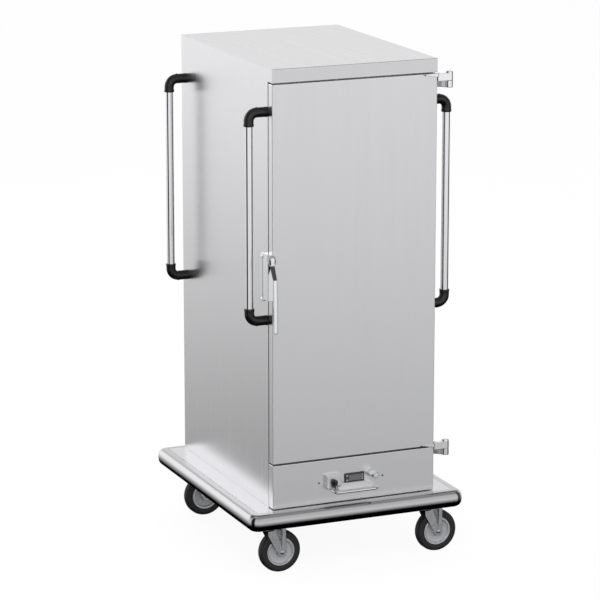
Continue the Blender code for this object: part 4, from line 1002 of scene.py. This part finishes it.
class PROOFER_OT_controls(BuildStep, bpy.types.Operator):
    """Build the control panel, controller, keys, switch, vent knob and guard"""
    bl_idname = "proofer.controls"
    bl_label = "Controls"

    def execute(self, context):
        sheet = context.scene.proofer_sheet
        panel = Shape().block(PANEL_LOW, PANEL_HIGH)
        panel.fold_open(lambda middle: middle.y > PANEL_HIGH.y - MM, sheet.bend_radius * FASCIA_BEND, 4)
        make("control_fascia", panel, "upright_sheet", "cabinet", ["control_panel"], sheet=sheet.door_sheet)
        spots = [((x, FACE, DECK + 0.082), (0, -1, 0)) for x in (-0.141, 0.115)]
        fasteners("fascia_screws", button_screw(3.4 * MM, 1.6 * MM), "black_oxide", spots, "cabinet")
        self.controller()
        self.switch()
        self.vent_knob()
        self.guard()
        return {"FINISHED"}

    def controller(self):
        low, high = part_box("controller_bezel")
        back = FACE - GAP
        case = Shape().block((low.x, low.y + 1.2 * MM, low.z), (high.x, back, high.z), 1.1 * MM, 3)
        case.frame_ring([(0.6 * MM, low.y + 1.6 * MM), (1.6 * MM, low.y), (4.0 * MM, low.y),
                         (4.6 * MM, low.y + 1.4 * MM)], (low.x, low.z), (high.x, high.z), "y",
                        corner=3 * MM, steps=5)
        case.block((low.x + 3.6 * MM, back - MM, low.z + 3.2 * MM), (high.x - 3.6 * MM, high.y,
                                                                     high.z - 3.2 * MM), MM, 2)
        make("controller_case", case, "controller", "cabinet", ["controller_bezel"])
        lens = Shape().block((low.x + 0.0165, low.y + 0.5 * MM, low.z + 6.5 * MM),
                             (high.x - 0.012, low.y + 1.8 * MM, high.z - 6.5 * MM), 0.4 * MM, 2)
        make("controller_window", lens, "lens", "cabinet")
        marks = Shape()
        for k in range(3):
            z = high.z - 9.5 * MM - k * 8 * MM
            marks.lathe([(0, 0.0), (2.1 * MM, 0.0), (2.0 * MM, 0.6 * MM), (0, 0.9 * MM)],
                        (high.x - 7.6 * MM, low.y + 1.4 * MM, z), "y", 16)
        make("controller_lamps", marks, "ink", "cabinet")
        for key in ("key_up", "key_set"):
            key_low, key_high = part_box(key)
            cap = Shape().block(key_low, key_high, 0.9 * MM, 3)
            make(key + "_cap", cap, "key", key, [key])

    def switch(self):
        low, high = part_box("switch_housing")
        housing = Shape().block(low, high, 1.4 * MM, 3)
        make("switch_box", housing, "upright_sheet", "cabinet", ["switch_housing"])
        pivot = joint_place("switch_turn")
        ticks = Shape()
        for degrees in (-60, 0, 60):
            a = radians(90 - degrees)
            spot = Vector((pivot.x + 0.0150 * cos(a), low.y, pivot.z + 0.0150 * sin(a)))
            ticks.lathe([(0, -0.05 * MM), (0.9 * MM, -0.05 * MM), (0.9 * MM, 0.12 * MM), (0, 0.15 * MM)],
                        spot, "y", 14)
        make("switch_positions", ticks, "controller", "cabinet")
        back = pivot.y - GAP
        dial = Shape().lathe([(0, 0), (0.0118, 0), (0.012, 0.8 * MM), (0.012, 0.0085), (0.0108, 0.0100),
                              (0, 0.0100)], (pivot.x, back, pivot.z), "y", 48)
        grip = arc((pivot.x, pivot.z - 15.5 * MM), 5.5 * MM, 180, 360, 12)
        grip += arc((pivot.x, pivot.z + 4.5 * MM), 5.5 * MM, 0, 180, 12)
        dial.plate(grip, "y", back - 0.020, back - 0.004)
        make("rotary_knob", dial, "black_plastic", "switch_knob", ["switch_knob"], bevel=0.8 * MM)
        index = Shape().block((pivot.x - MM, back - 0.02015, pivot.z - 19 * MM),
                              (pivot.x + MM, back - 0.0199, pivot.z - 9 * MM), 0.05 * MM, 1)
        make("rotary_knob_index", index, "ink", "switch_knob")

    def vent_knob(self):
        low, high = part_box("vent_knob")
        pivot = joint_place("vent_knob_turn")
        radius = (high.x - low.x) / 2
        length = FACE - GAP - low.y
        profile = [(0, 0), (radius * 0.86, 0)]
        collar = 5 * MM
        profile += [(radius * 0.86, collar), (radius * 0.78, collar + MM), (radius * 0.78, collar + 3 * MM),
                    (radius * 0.96, collar + 4.5 * MM), (radius, collar + 6 * MM),
                    (radius, length - 9 * MM), (radius * 0.95, length - 8.4 * MM),
                    (radius * 0.95, length - 7.6 * MM), (radius, length - 7 * MM),
                    (radius, length - 1.6 * MM), (radius * 0.9, length - 0.2 * MM),
                    (radius * 0.72, length - 0.2 * MM), (radius * 0.66, length - 1.4 * MM),
                    (radius * 0.60, length - 0.3 * MM), (0, length)]
        knob = Shape().lathe(profile, (pivot.x, FACE - GAP, pivot.z), "y", 64)
        make("vent_knob_turned", knob, "chrome", "vent_knob", ["vent_knob"])
        ring = Shape().lathe([(radius * 0.61, length - 1.3 * MM), (radius * 0.72, length - 1.3 * MM),
                              (radius * 0.72, length - 0.35 * MM), (radius * 0.61, length - 0.35 * MM)],
                             (pivot.x, FACE - GAP, pivot.z), "y", 64)
        make("vent_knob_ring", ring, "key", "vent_knob")
        mark = Shape().block((pivot.x - 0.5 * MM, low.y, pivot.z + radius * 0.62),
                             (pivot.x + 0.5 * MM, low.y + 0.0009, pivot.z + radius * 0.88), 0.1 * MM, 1)
        make("vent_knob_mark", mark, "ink", "vent_knob")

    def guard(self):
        low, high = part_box("control_guard")
        rod = 5 * MM
        z = (low.z + high.z) / 2
        left, right, bar = low.x + rod, high.x - rod, low.y + rod
        wall = FACE - GAP
        route = rounded([(left, wall, z), (left, bar, z), (right, bar, z), (right, wall, z)], 14 * MM, 10)
        make("guard_rail", Shape().bar(route, rod, 32), "bright_steel", "cabinet", ["control_guard"])
        shelf = Shape().block((left, FACE - 38 * MM, z - MM), (right, wall, z + MM), 0.3 * MM, 2)
        make("guard_shelf", shelf, "bright_steel", "cabinet")
        feet = Shape()
        for x in (left, right):
            feet.lathe([(rod, -1.2 * MM), (rod + 2.5 * MM, -1.2 * MM), (rod + 3 * MM, -0.6 * MM),
                        (rod + 3 * MM, 0), (rod, 0)], (x, wall - 1.2 * MM, z), "y", 32)
        make("guard_rosettes", feet, "bright_steel", "cabinet")


RIM_BULGE = 26 * MM             # how far the rim's rounded face stands out from its flat top
RIM_FULLNESS = 0.84             # 1 is an ellipse, less is squarer


class PROOFER_OT_trolley(BuildStep, bpy.types.Operator):
    """Build the bumper rim and the deck, and give the frame under it its zinc finish"""
    bl_idname = "proofer.trolley"
    bl_label = "Trolley base"

    def execute(self, context):
        sizes, sheet = context.scene.proofer_trolley, context.scene.proofer_sheet
        low, high = RIM_LOW, RIM_HIGH
        round_part = (high.z - low.z) / 2
        middle = (low.z + high.z) / 2
        width = sizes.rim_width
        profile = [(width, high.z - MM), (width - MM, high.z)]
        for k in range(25):
            a = pi / 2 - pi * k / 24
            out, up = abs(cos(a)) ** RIM_FULLNESS, abs(sin(a)) ** RIM_FULLNESS
            profile.append((RIM_BULGE * (1 - out), middle + round_part * (up if a > 0 else -up)))
        profile += [(width - MM, low.z), (width, low.z + MM)]
        rim = Shape().frame_ring(profile, (low.x, low.y), (high.x, high.y), "z", corner=sizes.rim_corner,
                                 steps=14)
        make("bumper_rail", rim, "rim_steel", "cabinet", ["bumper_rim"])
        deck = Shape().block(DECK_LOW, DECK_HIGH, sheet.edge_break, 2)
        make("deck_sheet", deck, "level_sheet", "cabinet", ["deck_plate"])
        coat("base_frame", "zinc")
        return {"FINISHED"}


class PROOFER_OT_casters(BuildStep, bpy.types.Operator):
    """Build the four swivel casters: plate, fork, wheel, tyre and bolts"""
    bl_idname = "proofer.casters"
    bl_label = "Casters"

    def execute(self, context):
        grooves = context.scene.proofer_trolley.tread_grooves
        for corner in CORNERS:
            swivel, axle = joint_place("swivel_" + corner), joint_place("wheel_" + corner)
            self.plate_and_race(corner, swivel)
            self.fork(corner, swivel, axle)
            self.wheel(corner, axle, grooves)
        return {"FINISHED"}

    def plate_and_race(self, corner, swivel):
        node = "caster_plate_" + corner
        low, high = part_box(node)
        plate_low = high.z - 4 * MM
        plate = Shape().block((low.x, low.y, plate_low), high, 9 * MM, 6, upright_only=True)
        plate.lathe([(0, low.z), (23 * MM, low.z), (26 * MM, low.z + 3 * MM), (26 * MM, low.z + 7 * MM),
                     (31 * MM, plate_low + 0.5 * MM), (0, plate_low + 0.5 * MM)], (swivel.x, swivel.y, 0),
                    "z", 48)
        make(f"caster_{corner}_plate", plate, "zinc", "cabinet", [node])
        spots = [((x, y, plate_low), (0, 0, -1)) for x in (low.x + 14 * MM, high.x - 14 * MM)
                 for y in (low.y + 12 * MM, high.y - 12 * MM)]
        fasteners(f"caster_{corner}_bolts", hex_bolt(6.5 * MM, 6.5 * MM, 8.5 * MM), "zinc", spots,
                  "cabinet")

    def fork(self, corner, swivel, axle):
        node = "caster_fork_" + corner
        low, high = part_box(node)
        body = "caster_swivel_" + corner
        crown_top = high.z
        wheel_half, gap, leg_sheet = 20 * MM, 3 * MM, 3.5 * MM
        inner, outer = wheel_half + gap, wheel_half + gap + leg_sheet
        heel, toe = swivel.x - 10 * MM, axle.x + 16 * MM
        leg = [(heel, crown_top - 6 * MM), (heel, axle.z + 68 * MM)]
        leg += arc((axle.x, axle.z), 17 * MM, 205, 360, 20)
        leg += [(axle.x + 17 * MM, crown_top - 6 * MM)]
        legs = Shape()
        for side in (-1, 1):
            near, far = sorted((swivel.y + side * inner, swivel.y + side * outer))
            legs.plate(leg, "y", near, far)
        legs.block((heel, swivel.y - outer, crown_top - 8 * MM), (toe, swivel.y + outer,
                                                                  crown_top - 3 * MM))
        make(f"caster_{corner}_fork", legs, "zinc", body, [node], bevel=1.2 * MM)
        folds = Shape()
        for side in (-1, 1):
            base, crest = swivel.y + side * (outer - 0.2 * MM), swivel.y + side * (outer + 2.2 * MM)
            top, tip = crown_top - 9 * MM, axle.z + 12 * MM
            left, right, mid = axle.x - 27 * MM, axle.x + 4 * MM, axle.x - 6 * MM
            corners = [(left, base, top), (right, base, top), (axle.x, base, tip),
                       (mid, crest, top - 2 * MM), (axle.x - MM, crest - side * MM, tip + 12 * MM)]
            a, b, c, d, e = [folds.bm.verts.new(p) for p in corners]
            for loop in ((a, b, d), (b, c, e, d), (c, a, d, e), (a, c, b)):
                folds.bm.faces.new(loop)
        make(f"caster_{corner}_folds", folds, "zinc", body, smooth=20)
        # the swivel crown takes the dark black oxide finish: painted shade for the dark round the top of the
        # fork
        crown = Shape().lathe([(0, crown_top - 14 * MM), (28 * MM, crown_top - 14 * MM),
                               (33 * MM, crown_top - 10 * MM), (33 * MM, crown_top - 3 * MM),
                               (30 * MM, crown_top), (0, crown_top)], (swivel.x, swivel.y, 0), "z", 48)
        make(f"caster_{corner}_crown", crown, "black_oxide", body)
        rod = Shape().bar([(axle.x, low.y + 4 * MM, axle.z), (axle.x, high.y - 4 * MM, axle.z)], 5.6 * MM,
                          24)
        make(f"caster_{corner}_axle", rod, "zinc", body)
        spots = [((axle.x, swivel.y + side * outer, axle.z), (0, side, 0)) for side in (-1, 1)]
        fasteners(f"caster_{corner}_nuts", hex_bolt(8 * MM, 5.8 * MM, 10 * MM), "zinc", spots, body,
                  spread=0.0)

    def wheel(self, corner, axle, grooves):
        body = "caster_spin_" + corner
        low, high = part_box("caster_wheel_" + corner)
        half, radius = (high.y - low.y) / 2, (high.x - low.x) / 2
        web = [(17 * MM, half), (18 * MM, half - MM), (18.5 * MM, half - 6 * MM), (22 * MM, half - 9 * MM),
               (40 * MM, half - 10 * MM), (43 * MM, half - 9 * MM), (45 * MM, half - 5 * MM),
               (46 * MM, half - 3.2 * MM), (48 * MM, half - 3 * MM), (radius, half - 3 * MM)]
        profile = [(6.6 * MM, half)] + web + [(r, -h) for r, h in reversed(web)] + [(6.6 * MM, -half)]
        make(f"caster_{corner}_wheel", Shape().lathe(profile, axle, "y", 64), "hub", body,
             ["caster_wheel_" + corner], smooth=25)
        rims = Shape()
        for side in (-1, 1):
            rims.lathe([(46.5 * MM, side * (half - 3.2 * MM)), (47.5 * MM, side * (half - 2.2 * MM)),
                        (49.5 * MM, side * (half - 2.2 * MM)), (50.5 * MM, side * (half - 3.2 * MM))], axle,
                       "y", 64)
        make(f"caster_{corner}_rings", rims, "bright_steel", body)
        low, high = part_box("caster_tyre_" + corner)
        half, outer, seat = (high.y - low.y) / 2, (high.x - low.x) / 2, radius + GAP
        shoulder = [(seat, half - MM), (seat + 2 * MM, half - 0.4 * MM), (outer - 16 * MM, half),
                    (outer - 10 * MM, half - 0.1 * MM), (outer - 6 * MM, half - 1.4 * MM),
                    (outer - 3 * MM, half - 4 * MM), (outer - 0.8 * MM, half - 8 * MM),
                    (outer, half - 11 * MM)]
        tread = []
        for k in range(grooves):
            y = (half - 11 * MM) * (1 - 2 * (k + 1) / (grooves + 1))
            tread += [(outer, y + 1.2 * MM), (outer - 1.2 * MM, y + 0.6 * MM),
                      (outer - 1.2 * MM, y - 0.6 * MM), (outer, y - 1.2 * MM)]
        profile = shoulder + tread + [(r, -h) for r, h in reversed(shoulder)]
        make(f"caster_{corner}_tyre", Shape().lathe(profile, axle, "y", 96), "tyre", body,
             ["caster_tyre_" + corner], smooth=40)


# ---- floor, light and camera --------------------------------------------------------------------
CAMERA_PLACE = (-4.490, -10.410, 3.664)
CAMERA_TURN = (radians(90 - 13.592), 0, radians(-23.192))
LENS = 185.13
GROUND = (-0.405, -0.165)       # sine of the elevations where the walls are black and where they are white
GROUND_TILT = 0.05              # the walls turn black this much lower in front and higher behind
FRONT_WALL = 0.85               # the front wall above the horizon, against the white of the others
CEILING = (0.55, 0.85, 1.0, 0.50)
FLAGS = ((-77, 14, 26, 0.02), (78, 14, 32, 0.10))       # azimuth, core and edge in degrees, darkest level
BACK_BAND = 0.25
WINDOW_AT = (-0.38, 0.89, 0.24)
WINDOW = (0.90, 0.985, 0.0, 0.55)


class PROOFER_OT_stage(BuildStep, bpy.types.Operator):
    """Set the pale floor, the soft studio light and the camera"""
    bl_idname = "proofer.stage"
    bl_label = "Stage"

    def execute(self, context):
        scene = context.scene
        scene.view_settings.view_transform = "Standard"
        mesh = bpy.data.meshes.new("studio_floor")
        reach = 60.0
        mesh.from_pydata([(-reach, -reach, 0), (reach, -reach, 0), (reach, reach, 0), (-reach, reach, 0)],
                         [], [(0, 1, 2, 3)])
        floor = bpy.data.objects.new("studio_floor", mesh)
        scene.collection.objects.link(floor)
        paint = bpy.data.materials.new("white_studio_floor")
        paint.use_nodes = True
        shader = paint.node_tree.nodes["Principled BSDF"]
        shader.inputs["Base Color"].default_value = (0.12, 0.12, 0.12, 1)
        shader.inputs["Roughness"].default_value = 1.0
        shader.inputs["Specular IOR Level"].default_value = 0.0
        shader.inputs["Emission Color"].default_value = (1, 1, 1, 1)
        shader.inputs["Emission Strength"].default_value = 0.93
        mesh.materials.append(paint)
        floor.visible_glossy = False
        floor.visible_diffuse = False
        self.sky(scene)
        for name, spot, aim, size, power in (
                ("key_panel", (-3.5, -4.5, 4.5), (0, 0, 1.0), 3.0, 90.0),
                ("fill_panel", (4.5, -3.5, 3.0), (0, 0, 0.9), 3.0, 40.0),
                ("back_panel", (-1.0, 5.0, 4.0), (0, 0, 1.0), 3.0, 50.0)):
            light = bpy.data.lights.new(name, "AREA")
            light.shape = "SQUARE"
            light.size = size
            light.energy = power
            lamp = bpy.data.objects.new(name, light)
            lamp.location = spot
            lamp.rotation_euler = (Vector(aim) - Vector(spot)).to_track_quat("-Z", "Y").to_euler()
            lamp.visible_glossy = False
            scene.collection.objects.link(lamp)
        camera = bpy.data.objects.new("camera", bpy.data.cameras.new("camera"))
        camera.data.lens = LENS
        camera.data.sensor_width = 36.0
        camera.data.clip_end = 200.0
        camera.location = CAMERA_PLACE
        camera.rotation_euler = CAMERA_TURN
        scene.collection.objects.link(camera)
        scene.camera = camera
        return {"FINISHED"}

    def sky(self, scene):
        """A studio seen only in reflections and as soft light, with white walls that fade to dark below.

        The ceiling is grey, a bright window stands behind on the left, and a dark flag on each side.
        The camera itself sees plain white.
        """
        world = bpy.data.worlds.new("studio")
        scene.world = world
        world.use_nodes = True
        tree = world.node_tree
        tree.nodes.clear()
        place = add_node(tree, "ShaderNodeTexCoord")
        parts = add_node(tree, "ShaderNodeSeparateXYZ", {}, {"Vector": (place, "Generated")})

        def sums(operation, first, second=None, value=0.0):
            links = {0: first} if second is None else {0: first, 1: second}
            return add_node(tree, "ShaderNodeMath",
                            {"operation": operation} if second else {"operation": operation, 1: value},
                            links), 0

        def ramp(value, low, high, start, end):
            return add_node(tree, "ShaderNodeMapRange", {"interpolation_type": "SMOOTHSTEP",
                                                         "From Min": low, "From Max": high, "To Min": start,
                                                         "To Max": end}, {"Value": value}), 0

        height = parts, "Z"
        front = sums("MULTIPLY", (parts, "Y"), value=-1.0)
        turn = add_node(tree, "ShaderNodeMath", {"operation": "ARCTAN2"}, {0: (parts, "X"), 1: front}), 0
        black = sums("ADD", sums("MULTIPLY", front, value=-GROUND_TILT), value=GROUND[0])
        level = add_node(tree, "ShaderNodeMapRange", {"From Max": GROUND[1]},
                         {"Value": height, "From Min": black}), 0
        level = sums("MULTIPLY", level, ramp(height, *CEILING))
        grey = sums("MULTIPLY", ramp(front, 0.0, 0.4, 0.0, 1.0), ramp(height, 0.0, 0.30, 0.0, 1.0))
        level = sums("MULTIPLY", level, ramp(grey, 0.0, 1.0, 1.0, FRONT_WALL))
        for azimuth, core, edge, darkest in FLAGS:
            distance = sums("ABSOLUTE", sums("ADD", turn, value=-radians(azimuth)))
            flag = ramp(distance, radians(core), radians(edge), darkest, 1.0)
            flag = sums("MAXIMUM", flag, ramp(height, 0.75, 0.92, 0.0, 1.0))
            level = sums("MULTIPLY", level, flag)
        behind = sums("MULTIPLY", ramp((parts, "Y"), 0.1, 0.4, 0.0, 1.0),
                      sums("SUBTRACT", ramp(height, 0.42, 0.55, 0.0, 1.0),
                           ramp(height, 0.80, 0.95, 0.0, 1.0)))
        level = sums("MULTIPLY", level, ramp(behind, 0.0, 1.0, 1.0, BACK_BAND))
        toward = add_node(tree, "ShaderNodeVectorMath", {"operation": "DOT_PRODUCT", 1: WINDOW_AT},
                          {0: (place, "Generated")}), "Value"
        level = sums("ADD", level, ramp(toward, *WINDOW))
        room = add_node(tree, "ShaderNodeBackground", {"Color": (1, 1, 1, 1)}, {"Strength": level})
        plain = add_node(tree, "ShaderNodeBackground", {"Color": (1, 1, 1, 1), "Strength": 1.0})
        path = add_node(tree, "ShaderNodeLightPath")
        shown = add_node(tree, "ShaderNodeMixShader", {}, {0: (path, "Is Camera Ray"), 1: (room, 0),
                                                           2: (plain, 0)})
        add_node(tree, "ShaderNodeOutputWorld", {}, {"Surface": (shown, 0)})


STEPS = (PROOFER_OT_finishes, PROOFER_OT_stage, PROOFER_OT_casing, PROOFER_OT_door, PROOFER_OT_chamber,
         PROOFER_OT_climate, PROOFER_OT_hinges, PROOFER_OT_latch, PROOFER_OT_handles, PROOFER_OT_controls,
         PROOFER_OT_trolley, PROOFER_OT_casters)
GROUPS = {"proofer_sheet": SheetMetalSizes, "proofer_chamber": ChamberSizes,
          "proofer_trolley": TrolleySizes, "proofer_colours": FinishColours}


class PROOFER_PT_panel(bpy.types.Panel):
    """The cabinet's settings and build steps"""
    bl_idname = "PROOFER_PT_panel"
    bl_label = "Proofing cabinet"
    bl_space_type = "VIEW_3D"
    bl_region_type = "UI"
    bl_category = "Proofer"

    def draw(self, context):
        for name, group in GROUPS.items():
            column = self.layout.column(align=True)
            for prop in group.__annotations__:
                column.prop(getattr(context.scene, name), prop)
        for step in STEPS:
            self.layout.operator(step.bl_idname)


def register():
    for item in (*GROUPS.values(), *STEPS, PROOFER_PT_panel):
        bpy.utils.register_class(item)
    for name, group in GROUPS.items():
        setattr(bpy.types.Scene, name, PointerProperty(type=group))


def unregister():
    for name in GROUPS:
        delattr(bpy.types.Scene, name)
    for item in (PROOFER_PT_panel, *reversed(STEPS), *reversed(tuple(GROUPS.values()))):
        bpy.utils.unregister_class(item)


def main():
    register()
    for step in STEPS:
        getattr(bpy.ops.proofer, step.bl_idname.split(".")[1])()


if __name__ == "__main__":
    main()
